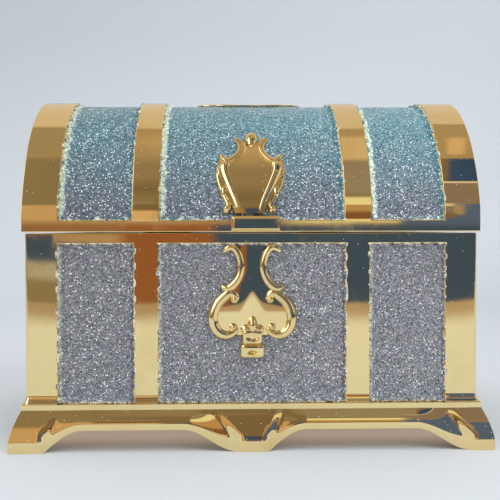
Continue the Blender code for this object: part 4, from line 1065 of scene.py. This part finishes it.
def lap_shift(u, v, seed, fill):
    """How far the points at the two sides of a sheet move out over the bands: the lapping times
    creep to the sixth power."""
    creep = np.clip(1 - from_ends(u) / CREEP_REACH, 0, 1)
    side = np.sign(u - (u[0] + u[-1]) / 2)
    return side * LAP_REACH * lapping(u, v, seed, fill) * creep**6


def resin_face(u, v, to_edge, seed, fill):
    """Height of the resin over its level, and how far it creeps, from 0 to 1 at the metal. It
    climbs the metal as creep squared, creep = 1 - distance / reach, by an amount that wanders
    along the edge, all the way up where it laps over, and its flakes stand out at random."""
    wander = hills(u, v, SCALLOP_PERIOD, seed)
    reach = CREEP_REACH * (1 + 0.25 * hills(u, v, SCALLOP_PERIOD / 2, seed + 1))
    creep = np.clip(1 - to_edge / reach, 0, 1)
    climb = CREEP_RISE * (0.8 + 0.35 * wander) * creep**2
    over = np.clip(3 * lapping(u, v, seed, fill), 0, 1) * smooth_step(1.5 * creep - 0.35)
    climb += over * (BAND_STEP + LAP_HEIGHT - climb)
    flakes = np.random.default_rng(seed + 2).random(np.broadcast(u, v).shape) - 0.5
    height = climb + FLAKE_HEIGHT * flakes + SWELL_HEIGHT * hills(u, v, SWELL_PERIOD, seed + 3)
    return height, creep


def marked(points, creep):
    """Points with how far the resin creeps as a fourth column."""
    return np.concatenate([points, np.broadcast_to(creep, points.shape[:2])[..., None]], axis=-1)


def slab(place, u, v, face_height, back_height, creep=0.0, shift=0.0):
    """Grids of a closed sheet over the stations u by v: its face, moved sideways by the shift,
    straight edges, and a plain back, whose inner columns are drawn to its two sides."""
    across, along = np.meshgrid(u, v)
    face = marked(place(across + shift, along, face_height), creep)
    back_across = across.copy()
    back_across[1:-1] = np.where(across < (u[0] + u[-1]) / 2, u[0], u[-1])[1:-1]
    back = marked(place(back_across, along, back_height), 1.0)
    grids = [(face, False), (back, False)]
    for edge in (np.s_[0], np.s_[-1], np.s_[:, 0], np.s_[:, -1]):
        grids.append((np.stack([face[edge], back[edge]]), False))
    return grids


def glitter_sheet(node, place, panel, stations, run, seed, fill):
    """An inlay over a panel and its stations, which lie at these places along the run: a face
    whose sides lap over the bands, and a plain back."""
    u = spread(panel[0] - INTO_WALL, panel[1] + INTO_WALL, FLAKE_STEP)
    v = run[:, None]
    face, creep = resin_face(u, v, np.minimum(from_ends(u), from_ends(run)[:, None]), seed, fill)
    shift = lap_shift(u, v, seed, fill)
    grids = slab(place, u, stations, face, -INLAY_THICKNESS, creep, shift)
    piece(node + "_glitter", grids, node, ALL_SMOOTH)


def body_inlays():
    """Three inlays in the front and the back, and one in each end."""
    rows = []
    for face, side, seed in (("front", -1, 10), ("back", 1, 50)):
        for number, (name, panel) in enumerate(zip(PANEL_NAMES, BODY_PANELS)):
            rows.append((f"{face}_inlay_{name}", side, False, panel, seed + 10 * number))
    for name, side, seed in (("left", -1, 90), ("right", 1, 100)):
        rows.append((f"side_inlay_{name}", side, True, SIDE_PANEL[0], seed))
    up = spread(BODY_BASE, RAIL_FOOT + INTO_WALL, FLAKE_STEP)
    for node, side, turned, panel, seed in rows:
        level = (BODY_HALF_X if turned else BODY_HALF_Y) - BAND_STEP
        glitter_sheet(node, on_wall(side, level, turned), panel, up, up, seed, BODY_LAP_FILL)


def lid_inlays():
    """Sheets over the dome between the bands, and a D in each end, of level rows as long as the
    D is wide there."""
    low_z = SEAT_FOOT - INTO_WALL
    foot = spread(low_z, spring_height(BAND_STEP), FLAKE_STEP)[:-1]
    quarter = math.asin((BOX_DEPTH / 2 - BAND_STEP) / (DOME_RADIUS - BAND_STEP))
    rise, along = over_dome(foot, spread(0, 1, FLAKE_STEP / (2 * quarter * DOME_RADIUS)))
    station = np.arange(rise.size)

    def on_dome(x, number, height):
        y, z = dome_profile(rise[number], along[number], BAND_STEP - height, low_z)
        return placed(x, y, np.minimum(z, DOME_CENTRE + DOME_RADIUS))

    for name, panel, seed in zip(PANEL_NAMES, LID_PANELS, (110, 120, 130)):
        run = station * FLAKE_STEP
        glitter_sheet(f"lid_inlay_{name}", on_dome, panel, station, run, seed, LID_LAP_FILL)

    radius, half = DOME_RADIUS - END_FRAME, BOX_DEPTH / 2 - END_FRAME
    start = math.acos(half / radius)
    tilt = spread(start, math.pi / 2 - FLAKE_STEP / radius, FLAKE_STEP / radius)
    z = np.concatenate([
        spread(low_z, DOME_CENTRE + radius * math.sin(start), FLAKE_STEP)[:-1],
        DOME_CENTRE + radius * np.sin(tilt),
    ])[:, None]
    reach = np.sqrt(np.clip(radius**2 - (z - DOME_CENTRE) ** 2, 0, half**2))
    share = np.linspace(-1, 1, 2 * math.ceil(half / FLAKE_STEP) + 1)
    y = share * reach
    to_arc = radius - np.hypot(y, z - DOME_CENTRE)
    to_edge = np.minimum.reduce([to_arc, half - np.abs(y), z - low_z + 0 * y])
    for name, side, seed in (("left", -1, 140), ("right", 1, 150)):
        rise, creep = resin_face(y, z, np.clip(to_edge, 0, None), seed, LID_LAP_FILL)
        face = marked(placed(side * (BOX_WIDTH / 2 - BAND_STEP + rise), y, z), creep)
        back_x = side * (BOX_WIDTH / 2 - BAND_STEP - INLAY_THICKNESS)
        back = marked(placed(back_x, y[:, ::-1], z), 1.0)
        grids = [(closed_ends(np.concatenate([face, back], axis=1)), True)]
        piece(f"lid_end_inlay_{name}_glitter", grids, f"lid_end_inlay_{name}", ALL_SMOOTH)


# Ornaments


def curve_through(points):
    """Points on a smooth curve through these: each stretch is the cubic whose tangent at a
    point runs parallel to the line between that point's neighbours."""
    points = np.array(points, dtype=float)
    row = np.concatenate([points[:1], points, points[-1:]])
    a, b, c, d = row[:-3, None], row[1:-2, None], row[2:-1, None], row[3:, None]
    t = (np.arange(CURVE_STEPS) / CURVE_STEPS)[:, None]
    stretch = b + 0.5 * ((c - a) * t + (2 * a - 5 * b + 4 * c - d) * t**2)
    stretch = stretch + 0.5 * (3 * b - a - 3 * c + d) * t**3
    return np.concatenate([stretch.reshape(-1, points.shape[1]), points[-1:]])


def rib(points, lift, radius, flatness, lean):
    """A rib in (u, v, h) through (u, v, share of the radius) points. Its sections are ellipses
    square to the path, sheared so that the path's left side is lower by lean, and its ends close
    as a quarter circle."""
    path = curve_through(points)
    step = np.hypot(*np.diff(path[:, :2], axis=0).T)
    run = np.concatenate([[0], np.cumsum(step)])
    place = run[-1] * (1 - np.cos(np.linspace(0, math.pi, RIB_ROWS))) / 2
    u, v, share = (np.interp(place, run, path[:, i])[:, None] for i in range(3))
    ahead_u, ahead_v = np.gradient(u[:, 0], place)[:, None], np.gradient(v[:, 0], place)[:, None]
    length = np.hypot(ahead_u, ahead_v)
    thick = radius * share
    to_end = np.minimum(place, run[-1] - place)[:, None] / thick
    half = thick * np.sqrt(1 - np.clip(1 - to_end, 0, 1) ** 2)
    angle = np.linspace(0, 2 * math.pi, RIB_SIDES, endpoint=False)
    sideways = half * np.cos(angle)
    up = half * np.sin(angle) * flatness - lean * sideways
    u, v = u - sideways * ahead_v / length, v + sideways * ahead_u / length
    return [(placed(u, v, lift + thick / 2 + up), True)]


def bead(middle_u, middle_v, half_width, half_height, proud):
    """A rounded pad in (u, v, h): half an ellipsoid, of height sqrt(1 - r ** 2), on its base."""
    r = np.append(np.sin(np.linspace(0, math.pi / 2, BEAD_RINGS)), 0)[:, None]
    angle = np.linspace(0, 2 * math.pi, TURNED_SIDES, endpoint=False)
    height = proud * np.sqrt(np.clip(1 - r**2, 0, 1))
    height[-1] = 0
    u, v = middle_u + half_width * r * np.cos(angle), middle_v + half_height * r * np.sin(angle)
    return [(placed(u, v, height), True)]


def beads(rows, half_width, height):
    """The beads of a table, and the mirror image of each that stands off the middle."""
    made = []
    for side in (-1, 1):
        for u, v, *size in rows:
            if u or side > 0:
                made += bead(side * u * half_width, v * height, *size)
    return made


def plate(edge, thickness, dish, lift=None):
    """A plate in (u, v, h) between mirrored edges, sunk in its middle by dish, and raised by
    lift(u, v). Its ends close to a point."""
    edge = curve_through(edge)
    share = np.linspace(-1, 1, PLATE_COLUMNS)
    u, v = edge[:, :1] * share, edge[:, 1:] + 0 * share
    raised = lift(u, v) if lift else 0 * u
    top = np.stack([u, v, thickness - dish * (1 - share**2) + raised], axis=2)
    bottom = np.stack([u, v, 0 * u], axis=2)[:, ::-1]
    return [(closed_ends(np.concatenate([top, bottom], axis=1)), True)]


def pair(shares, half_width, height, lift, radius, flatness=RIB_FLATNESS, lean=0.0):
    """A rib from a table of shares of the ornament's size, and its mirror image."""
    made = []
    for side in (-1, 1):
        points = [(side * u * half_width, v * height, share) for u, v, share in shares]
        made += rib(points, lift, radius, flatness, -side * lean)
    return made


def cushion(half, low, high, proud, mark_v, mark_size):
    """A block with rounded shoulders in (u, v, h): its height is the product of
    (1 - s ** 6) ** (1 / 3) both ways, less a hollow of the mark's half width, half height and
    depth."""
    s = np.sin(np.linspace(-math.pi / 2, math.pi / 2, CUSHION_COLUMNS))
    one, other = s[None, :], s[:, None]
    u = half * one * (1 - SHOULDER_SQUEEZE_SHARE * other**6)
    v = (low + high) / 2 + (high - low) / 2 * other * (1 - SHOULDER_SQUEEZE_SHARE * one**6)
    height = proud * (np.clip(1 - one**6, 0, 1) * np.clip(1 - other**6, 0, 1)) ** (1 / 3)
    width, tall, depth = mark_size
    away = np.hypot(u / width, (v - mark_v) / tall)
    height = height - depth * (1 - smooth_step(away * 1.6 - 0.6))
    return [(np.concatenate([placed(u, v, height), placed(u, v, 0)[:, ::-1]], axis=1), True)]


def plate_edge(shares, half_width, height):
    return [(u * half_width, v * height) for u, v in shares]


def ornament(name, node, shapes, bend):
    """One piece from shapes in (u, v, h), each put in its place by the bend."""
    grids = [(bend(*np.moveaxis(points, -1, 0)), closed) for points, closed in shapes]
    piece(name, grids, node, ORNAMENT_SHARP, shells=True)


def escutcheon():
    """The key plate: a stem and a bulb between four C scrolls, over a drop in two cushions."""
    half, height = ESCUTCHEON_WIDTH / 2, ESCUTCHEON_HEIGHT
    face = BODY_HALF_Y - BAND_STEP
    foot = RAIL_FOOT - SEAT_GAP - height

    def bend(u, v, h):
        return placed(u, -face - h, foot + v)

    def fan(u, v):
        fall = FAN_TOP_SHARE * height - v - FAN_SPREAD * (np.hypot(u, FAN_SOFT) - FAN_SOFT)
        fall = np.maximum(fall, SILL_SHARE * height - v)
        return -FAN_SLOPE * (fall + np.hypot(fall, FAN_SOFT)) / 2

    edge = plate_edge(PLATE_EDGE_SHARES, half, height)
    shapes = plate(edge, PLATE_THICKNESS, FIELD_DISH, fan)
    shapes += pair(UPPER_SCROLL_SHARES, half, height, SEAT_GAP / 2, UPPER_SCROLL_RIB)
    reach = half * LOWER_SCROLL_REACH_SHARE
    shapes += pair(LOWER_SCROLL_SHARES, reach, height, 0, LOWER_SCROLL_RIB)
    shapes += beads(SCROLL_KNOBS, half, height) + beads(PEAK_LEAVES, half, height)
    split, top = DROP_SPLIT_SHARE * height, DROP_TOP_SHARE * height
    hollow_v, dimple_v = (split + top) / 2 - HOLLOW_FALL, split * DIMPLE_SHARE
    shapes += cushion(DROP_SHARE * half, split, top, DROP_PROUD, hollow_v, HOLLOW_SIZE)
    shapes += cushion(CAP_SHARE * half, 0, split + SEAT_GAP, DROP_PROUD, dimple_v, DIMPLE_SIZE)
    ornament("escutcheon_casting", "front_escutcheon", shapes, bend)


def dome_place(x, s, h):
    """The point at arc length s above the dome's front springing, h above the inlays' face.
    Below the springing the face is upright, and the normal turns over one upright's length."""
    radius = DOME_RADIUS - BAND_STEP
    start = math.acos(BOX_DEPTH / 2 / DOME_RADIUS)
    angle = start + np.maximum(s, 0) / DOME_RADIUS
    y, z = -radius * np.cos(angle), DOME_CENTRE + radius * np.sin(angle) + np.minimum(s, 0)
    lean = np.where(s >= 0, angle, start * np.clip(1 + s / LID_UPRIGHT, 0, 1))
    return placed(x, y - h * np.cos(lean), z + h * np.sin(lean))


def crest():
    """The shield on the lid's front: two ribs a side, a neck, three leaves, and a dished field."""
    half, height = CREST_WIDTH / 2, CREST_HEIGHT

    def bend(u, v, h):
        lean = CREST_LEAN * (CREST_PLUMB_SHARE - v / height)
        return dome_place(u - lean, v - CREST_FOOT_DROP, h)

    def foot_lift(u, v):
        share = np.clip(v / height, 0, 1)
        return CREST_TILT * ((1 - share) ** 3 - share**3)

    edge = plate_edge(CREST_EDGE_SHARES, half, height)
    shapes = plate(edge, PLATE_THICKNESS, CREST_DISH, foot_lift)
    shapes += pair(OUTER_RIB_SHARES, half, height, 0, CREST_RIB * OUTER_RIB_SHARE)
    for shares, lift_share in (
        (SIDE_RIB_SHARES, SIDE_RIB_LIFT_SHARE), (NECK_RIB_SHARES, NECK_RIB_LIFT_SHARE),
    ):
        lift = PLATE_THICKNESS * lift_share
        shapes += pair(shares, half, height, lift, CREST_RIB, CREST_RIB_FLATNESS, CREST_RIB_LEAN)
    shapes += beads(CREST_LEAVES, half, height)
    bud_v, bud_wide, bud_tall = BUD_SHARES
    shapes += bead(0, bud_v * height, bud_wide * half, bud_tall * height, BUD_PROUD)
    ornament("crest_casting", "lid_crest", shapes, bend)


def medallion():
    """The low cartouche along the crown: an oval boss between scrolls."""
    half, depth = MEDALLION_LENGTH / 2, MEDALLION_DEPTH / 2
    quarter = (math.pi / 2 - math.acos(BOX_DEPTH / 2 / DOME_RADIUS)) * DOME_RADIUS

    def bend(u, v, h):
        return dome_place(u, quarter + v, h + SEAT_GAP)

    edge = [(v * depth, u * half) for u, v in MEDALLION_EDGE_SHARES[::-1]]
    edge += [(v * depth, -u * half) for u, v in MEDALLION_EDGE_SHARES[1:]]
    shapes = [(points[..., [1, 0, 2]], closed) for points, closed in plate(edge, MEDALLION_PLATE, 0)]
    for turn in (1, -1):
        shares = [(u, turn * v, share) for u, v, share in MEDALLION_SCROLL_SHARES]
        shapes += pair(shares, half, depth, 0, MEDALLION_RIB)
    shapes += bead(0, 0, BOSS_SHARES[0] * half, BOSS_SHARES[1] * depth, 2 * MEDALLION_RIB)
    ornament("medallion_casting", "top_medallion", shapes, bend)


def thumb_block():
    """The block on the lid's front rail: a rectangle drawn in at its front by the bevel."""
    back, front = -BOX_DEPTH / 2, -BOX_DEPTH / 2 - SEAT_GAP - THUMB_PROUD
    low, high = LID_BASE + THUMB_LIFT, LID_BASE + THUMB_LIFT + THUMB_HEIGHT
    middle_z = (low + high) / 2
    corner = np.array([(-1, -1), (1, -1), (1, 1), (-1, 1)])
    half = np.array([THUMB_WIDTH, THUMB_HEIGHT]) / 2
    rows = []
    for y, size in (
        (back, 0 * half), (back, half), (front + THUMB_BEVEL, half), (front, half - THUMB_BEVEL),
        (front, 0 * half),
    ):
        rows.append(placed(THUMB_OFFSET + corner[:, 0] * size[0], y, middle_z + corner[:, 1] * size[1]))
    rounded(piece("thumb_casting", [(np.stack(rows), True)], "thumb_block"), THUMB_ROUNDED_PAST)


def hinge_pins():
    """A pin a hinge, with a domed head at each end."""
    reach = HINGE_REACH + SEAT_GAP
    bulge = np.linspace(0, math.pi / 2, 8)
    dome = list(zip(reach + PIN_HEAD_LENGTH * np.sin(bulge), PIN_HEAD_RADIUS * np.cos(bulge)))
    right = [(reach, PIN_RADIUS)] + dome
    profile = [(-x, r) for x, r in right[::-1]] + right
    for name, middle in zip(("left", "right"), HINGE_MIDDLES):
        piece(f"pin_{name}", [turned_on_hinge(profile, middle)], f"hinge_pin_{name}", PIN_SHARP)


# Velvet lining


PAD_EDGE = PAD_ROUND * (1 - np.cos(np.linspace(0, math.pi / 2, PAD_EDGE_STEPS)))


def pad_face(to_edge, u, v, thickness, seed):
    """Height of a padded card: a round edge, then a low crown with slow hollows."""
    edge = np.sqrt(np.clip(1 - (1 - np.clip(to_edge / PAD_ROUND, 0, 1)) ** 2, 0, 1))
    crown = 1 - np.exp(-to_edge / PAD_CROWN_REACH)
    hollow = 0.5 + 0.5 * hills(u, v, PAD_PERIOD, seed)
    return thickness * (0.62 + 0.30 * crown + 0.08 * hollow * crown) * edge


def pad_stations(low, high):
    """Stations at the pad's step, with closer ones over each round edge."""
    inner = spread(low + PAD_ROUND, high - PAD_ROUND, PAD_STEP)
    return np.concatenate([low + PAD_EDGE[:-1], inner, (high - PAD_EDGE[:-1])[::-1]])


def velvet_piece(name, node, grids):
    piece(name, grids, node, ALL_SMOOTH)


def velvet_card(name, node, place, half, stations, run, to_ends, thickness, seed):
    """A padded card as wide as twice the half, over stations at these places along the run."""
    u = pad_stations(-half, half)
    to_edge = np.minimum(from_ends(u), to_ends[:, None])
    face = pad_face(to_edge, u, run[:, None], thickness, seed)
    velvet_piece(name, node, slab(place, u, stations, face, 0.0))


def box_lining():
    """Velvet-covered cards on the four walls, and one on the floor between them."""
    inner_x, inner_y = BODY_HALF_X - WALL - SEAT_GAP, BODY_HALF_Y - WALL - SEAT_GAP
    low, top = FLOOR_TOP + SEAT_GAP, BODY_TOP - LINING_BELOW_RIM
    reach = inner_y - WALL_PAD - SEAT_GAP

    def on_floor(across, along, height):
        return placed(across, along, low + height)

    along, up = pad_stations(-reach, reach), pad_stations(low, top)
    floor_x = inner_x - WALL_PAD - SEAT_GAP
    cards = [("floor_lining", on_floor, floor_x, along, FLOOR_PAD, 200)]
    for names, turned, level, half, seed in (
        (("front", "back"), False, inner_y, inner_x, 210), (("left", "right"), True, inner_x, reach, 220),
    ):
        for number, name in enumerate(names):
            place = on_wall(2 * number - 1, level, turned, way=-1)
            cards.append((f"wall_lining_{name}", place, half, up, WALL_PAD, seed + number))
    for node, place, half, run, thickness, seed in cards:
        ends = from_ends(run)
        velvet_card(node + "_velvet", node, place, half, run, run, ends, thickness, seed)


def lid_lining():
    """Velvet-covered cards in the lid: a vault, and a D in each end."""
    inset, foot = WALL + SEAT_GAP, LID_BASE + LINING_BELOW_RIM
    half = BOX_WIDTH / 2 - inset
    upright = spread(foot + 2 * PAD_ROUND, spring_height(inset), PAD_STEP)[:-1]
    upright = np.concatenate([foot + PAD_EDGE, upright])
    rise, along = over_dome(upright, np.linspace(0, 1, VAULT_STEPS))
    station = np.arange(rise.size)
    from_foot = np.where(np.isinf(rise), PAD_CROWN_REACH, rise - foot)

    def on_vault(x, number, height):
        y, z = dome_profile(rise[number], along[number], inset + height, foot)
        return placed(x, y, z)

    run = station * PAD_STEP
    velvet_card(
        "vault_velvet", "lid_lining_vault", on_vault, half, station, run, from_foot, LID_PAD, 230
    )
    card = inset + LID_PAD + SEAT_GAP
    depth = np.concatenate([PAD_EDGE, spread(2 * PAD_ROUND, D_DEPTH, PAD_STEP)])[:, None]
    y, z = dome_profile(rise, along, card + depth, foot + depth)
    back_y, back_z = dome_profile(rise, along, card, foot)
    for name, side, seed in (("left", -1, 240), ("right", 1, 250)):
        height = pad_face(depth + 0 * y, y, z, LID_PAD, seed)
        face = placed(side * (half - height), y, z)
        back = placed(side * half, back_y, back_z)[None]
        grids = [(closed_ends(np.concatenate([back, face])), True)]
        velvet_piece(f"lid_{name}_velvet", f"lid_lining_{name}", grids)


# The stage: a sweep of pale paper, and the room that the gold mirrors
PAPER = (0.62, 0.655, 0.69)
SHADED_PAPER = (0.46, 0.50, 0.52)
TABLE = (0.34, 0.26, 0.20)
PAPER_FRONT = -0.48
PAPER_BACK = 0.60
PAPER_TOP = 0.34
PAPER_HALF_WIDTH = 1.5
PAPER_BEND = 0.25
PAPER_BEND_STEPS = 25
PAPER_CLOUDS_PER_METRE = 6
TABLE_EDGE = (0.30, 0.42)
BACKGROUND = (0.584, 0.625, 0.652)
SOFT_SKY = (0.70, 0.72, 0.74)
# Tone and place of the painted glow on the paper under the box
GILT_GLOW = (0.36, 0.26, 0.205)
GLOW_ACROSS = (-0.054, 0.054, 0.008)
GLOW_ALONG = (-0.024, 0.036, 0.02)


def paper_sweep():
    """Paper that lies flat, bends a quarter turn behind the box and goes straight up. It carries painted
    shade, darker at the backdrop's top left and at the floor's right. Under the box it has a painted
    glow, seen only by the camera, that stands in for the warm light the gilt underside throws back."""
    turn = np.linspace(0, math.pi / 2, PAPER_BEND_STEPS)
    bend_y = PAPER_BACK - PAPER_BEND + PAPER_BEND * np.sin(turn)
    bend_z = PAPER_BEND - PAPER_BEND * np.cos(turn)
    y = np.concatenate([[PAPER_FRONT], bend_y, [PAPER_BACK]])
    z = np.concatenate([[0.0], bend_z, [PAPER_TOP]])
    x = np.array([-PAPER_HALF_WIDTH, PAPER_HALF_WIDTH])
    grid = placed(x[None, :], y[:, None], z[:, None])
    mesh = bpy.data.meshes.new("paper")
    mesh.from_pydata(grid.reshape(-1, 3).tolist(), [], grid_faces(*grid.shape[:2]).tolist())
    mesh.shade_smooth()
    made, shade = new_material("paper")
    place = shade.object_place()
    x, y, z = shade.parts(place)
    # Painted shade: darker at the backdrop's top left and at the floor's right, with slow clouds
    painted_paper_shade = (z - x * 0.6).step(0.10, 0.45) * 0.55 + (x - z * 4).step(0.02, 0.3) * 0.45
    painted_paper_shade = painted_paper_shade + shade.noise(place, PAPER_CLOUDS_PER_METRE, 2.0) * 0.06
    colour = shade.mixed(painted_paper_shade.clamped(), PAPER, SHADED_PAPER)
    colour = shade.mixed((-y).step(*TABLE_EDGE), colour, TABLE)
    # Painted glow: warm light, for the camera only, on the paper under the box, standing in for what the
    # gilt underside throws back
    under = x.between(*GLOW_ACROSS) * y.between(*GLOW_ALONG)
    glow = shade.mixed(under * shade.camera_ray(), (0, 0, 0), GILT_GLOW)
    finish(colour, 0.8, 0.0, glow=glow, Emission_Strength=1.0)
    mesh.materials.append(made)
    shown("paper", mesh)


# The room that the gold mirrors, by colour as light reaches the gold
NIGHT = (0.055, 0.095, 0.215)
NAVY = (0.10, 0.155, 0.37)
RUST = (0.31, 0.125, 0.06)
DARK_RED = (0.24, 0.115, 0.06)
ORANGE = (0.52, 0.33, 0.17)
TAN = (0.48, 0.34, 0.24)
CREAM_TAN = (0.76, 0.65, 0.56)
UMBER = (0.22, 0.165, 0.11)
DRAB = (0.31, 0.245, 0.175)
BISTRE = (0.43, 0.33, 0.22)
FAWN = (0.54, 0.41, 0.28)
BRIGHT_FAWN = (0.66, 0.53, 0.39)
CLAY = (0.28, 0.23, 0.165)
WARM_CLAY = (0.38, 0.31, 0.215)
STONE = (0.32, 0.28, 0.25)
DUSKY_BLUE = (0.04, 0.09, 0.26)
ROSE = (0.70, 0.60, 0.50)
PALE_LILAC = (0.72, 0.62, 0.54)
WARM_LIGHT = (0.87, 0.84, 0.59)
PEARL = (0.47, 0.45, 0.44)
FOXY = (0.60, 0.42, 0.26)
APRICOT = (0.72, 0.52, 0.34)
CHESTNUT = (0.30, 0.16, 0.09)
TAUPE = (0.27, 0.215, 0.20)
WINDOW = (2.2, 2.3, 2.5)
LAMP_AIM = (0, 0, 0.05)

# From the front's horizon over the box to its back, by angle in degrees
ROOM_LOW = -20
ROOM_HIGH = 170
ROOM_TONES = [
    (2.5, TAN), (4, DARK_RED), (10, DARK_RED), (14, ORANGE), (28, ORANGE), (34, DRAB),
    (45, UMBER), (56, DRAB), (66, DRAB), (75, BISTRE), (88, FAWN), (103, BISTRE), (107, ROSE),
    (124, ROSE), (137, PALE_LILAC),
]

# Cards that stand before it: low and high reach to the side, low and high angle, softness of
# the side and of the angle, and the colour
CARDS = [
    (-1.0, 1.0, -12, 0.25, 0.02, 0.12, NIGHT),
    (0.006, 0.056, -1, 2, 0.004, 0.2, NIGHT),
    (-0.135, -0.022, -12, 0.3, 0.012, 0.12, RUST),
    (-0.14, -0.035, 0.8, 2.6, 0.02, 0.15, CREAM_TAN),
    (-0.06, 0.045, 3.5, 12, 0.01, 1, NIGHT),
    (-0.075, 0.07, 13, 38, 0.01, 1, UMBER),
    (-1.0, -0.155, -12, -2.8, 0.02, 0.4, CLAY),
    (-1.0, -0.155, -3.0, -2.3, 0.02, 0.4, PEARL),
    (-1.0, -0.155, 2.6, 25, 0.02, 2, FOXY),
    (-0.145, -0.08, 2.8, 12, 0.01, 1.5, APRICOT),
    (-0.145, -0.08, 15, 30, 0.01, 2, UMBER),
    (-1.0, -0.13, -0.35, 0.3, 0.01, 0.1, CHESTNUT),
    (-0.205, -0.13, -0.85, -0.4, 0.02, 0.15, TAN),
    (-1.0, -0.15, 30, 70, 0.04, 5, CLAY),
    (-1.0, -0.15, 77, 105, 0.04, 4, WARM_CLAY),
    (0.08, 0.195, 29, 37, 0.02, 3, WARM_LIGHT),
    (0.08, 0.195, 0.5, 2.6, 0.02, 0.12, WARM_LIGHT),
    (0.08, 0.195, 43, 69, 0.03, 4, STONE),
    (0.08, 0.195, 73, 92, 0.03, 5, BRIGHT_FAWN),
    (0.2, 1.0, 0.3, 30, 0.012, 0.15, NAVY),
    (0.2, 1.0, 32, 50, 0.012, 3, TAUPE),
    (0.226, 1.0, 52, 71, 0.01, 1.5, UMBER),
    (0.247, 1.0, 52, 71, 0.004, 1.5, DUSKY_BLUE),
    (0.2, 1.0, 74, 110, 0.012, 3, BISTRE),
    (0.246, 0.258, 78, 92, 0.006, 4, APRICOT),
    (0.230, 0.247, 5, 24, 0.003, 2, TAUPE),
    (0.236, 0.250, 22, 31, 0.004, 2, CREAM_TAN),
    (0.252, 0.260, 10, 24, 0.003, 4, BISTRE),
    (0.240, 0.252, 5, 9, 0.004, 2, UMBER),
    (0.2, 1.0, 50, 51.2, 0.012, 0.3, CREAM_TAN),
    (-0.78, -0.45, 12, 84, 0.05, 4, WINDOW),
    (0.80, 0.95, 15, 80, 0.04, 5, WARM_LIGHT),
]


def room():
    """The world: the photograph's pale background to the camera, soft light to rough surfaces,
    and a dim room in front of the box to mirrors."""
    world = bpy.data.worlds.new("room")
    world.use_nodes = True
    bpy.context.scene.world = world
    tree = world.node_tree
    shade = Shading(tree)
    x, y, z = shade.parts(shade.add("ShaderNodeTexCoord", output="Generated"))
    over = shade.add("ShaderNodeMath", {"operation": "ARCTAN2"}, [z, -y]) * math.degrees(1)
    share = (over - ROOM_LOW) / (ROOM_HIGH - ROOM_LOW)
    stops = [((angle - ROOM_LOW) / (ROOM_HIGH - ROOM_LOW), tone) for angle, tone in ROOM_TONES]
    colour = shade.add("ShaderNodeValToRGB", {"stops": stops}, [share])
    front = (-y).step(-0.1, 0.35)
    for low_x, high_x, low, high, soft_x, soft, tone in CARDS:
        mask = x.between(low_x, high_x, soft_x) * over.between(low, high, soft)
        if low < 1:
            mask = mask * front
        colour = shade.mixed(mask, colour, tone)
    diffuse_ray = shade.add("ShaderNodeLightPath", output="Is Diffuse Ray")
    colour = shade.mixed(diffuse_ray, colour, SOFT_SKY)
    colour = shade.mixed(shade.camera_ray(), colour, BACKGROUND)
    tree.links.new(colour.socket, tree.nodes["Background"].inputs["Color"])


def area_lamp(name, place, size, watts, colour):
    """A square lamp that looks at the middle of the box, and that mirrors don't show."""
    data = bpy.data.lights.new(name, "AREA")
    data.shape = "SQUARE"
    data.size = size
    data.energy = watts
    data.color = colour
    lamp = shown(name, data)
    lamp.location = place
    lamp.rotation_mode = "QUATERNION"
    lamp.rotation_quaternion = (Vector(LAMP_AIM) - Vector(place)).to_track_quat("-Z", "Y")
    lamp.visible_glossy = False


def lights():
    """A large soft lamp over the front of the box, and a weak one at its right for the flakes."""
    area_lamp("overhead", (-0.05, -0.3, 1.25), 0.7, 5.7, (1.0, 0.99, 0.97))
    area_lamp("side_fill", (0.45, -0.6, 0.6), 0.5, 3.0, (1.0, 0.98, 0.97))


def photo_camera():
    """The camera at the photograph's place, from its yaw, its pitch down and its roll."""
    sin, cos = math.sin, math.cos
    forward = Vector((
        sin(CAMERA_YAW) * cos(CAMERA_PITCH),
        cos(CAMERA_YAW) * cos(CAMERA_PITCH),
        -sin(CAMERA_PITCH),
    ))
    right = Vector((cos(CAMERA_YAW), -sin(CAMERA_YAW), 0))
    up = right.cross(forward)
    rolled_right = cos(CAMERA_ROLL) * right + sin(CAMERA_ROLL) * up
    rolled_up = cos(CAMERA_ROLL) * up - sin(CAMERA_ROLL) * right
    data = bpy.data.cameras.new("camera")
    data.sensor_fit = "HORIZONTAL"
    data.sensor_width = SENSOR_MM
    data.lens = SENSOR_MM * FOCAL_PIXELS / IMAGE_PIXELS
    data.clip_start = NEAREST_SEEN
    camera = shown("camera", data)
    turned = Matrix((rolled_right, rolled_up, -forward)).transposed().to_4x4()
    turned.translation = Vector(CAMERA_PLACE)
    camera.matrix_world = turned
    bpy.context.scene.camera = camera


# What is made


photo_camera()
paper_sweep()
room()
lights()
body_casting()
body_inlays()
escutcheon()
plinth_casting()
lid_casting()
lid_inlays()
crest()
medallion()
thumb_block()
hinge_pins()
box_lining()
lid_lining()
for node, thing in frame["nodes"].items():
    thing.data.materials.clear()
    thing.data.materials.append(FINISHES[SLOTS[node]])

bpy.context.scene.view_settings.view_transform = "Standard"
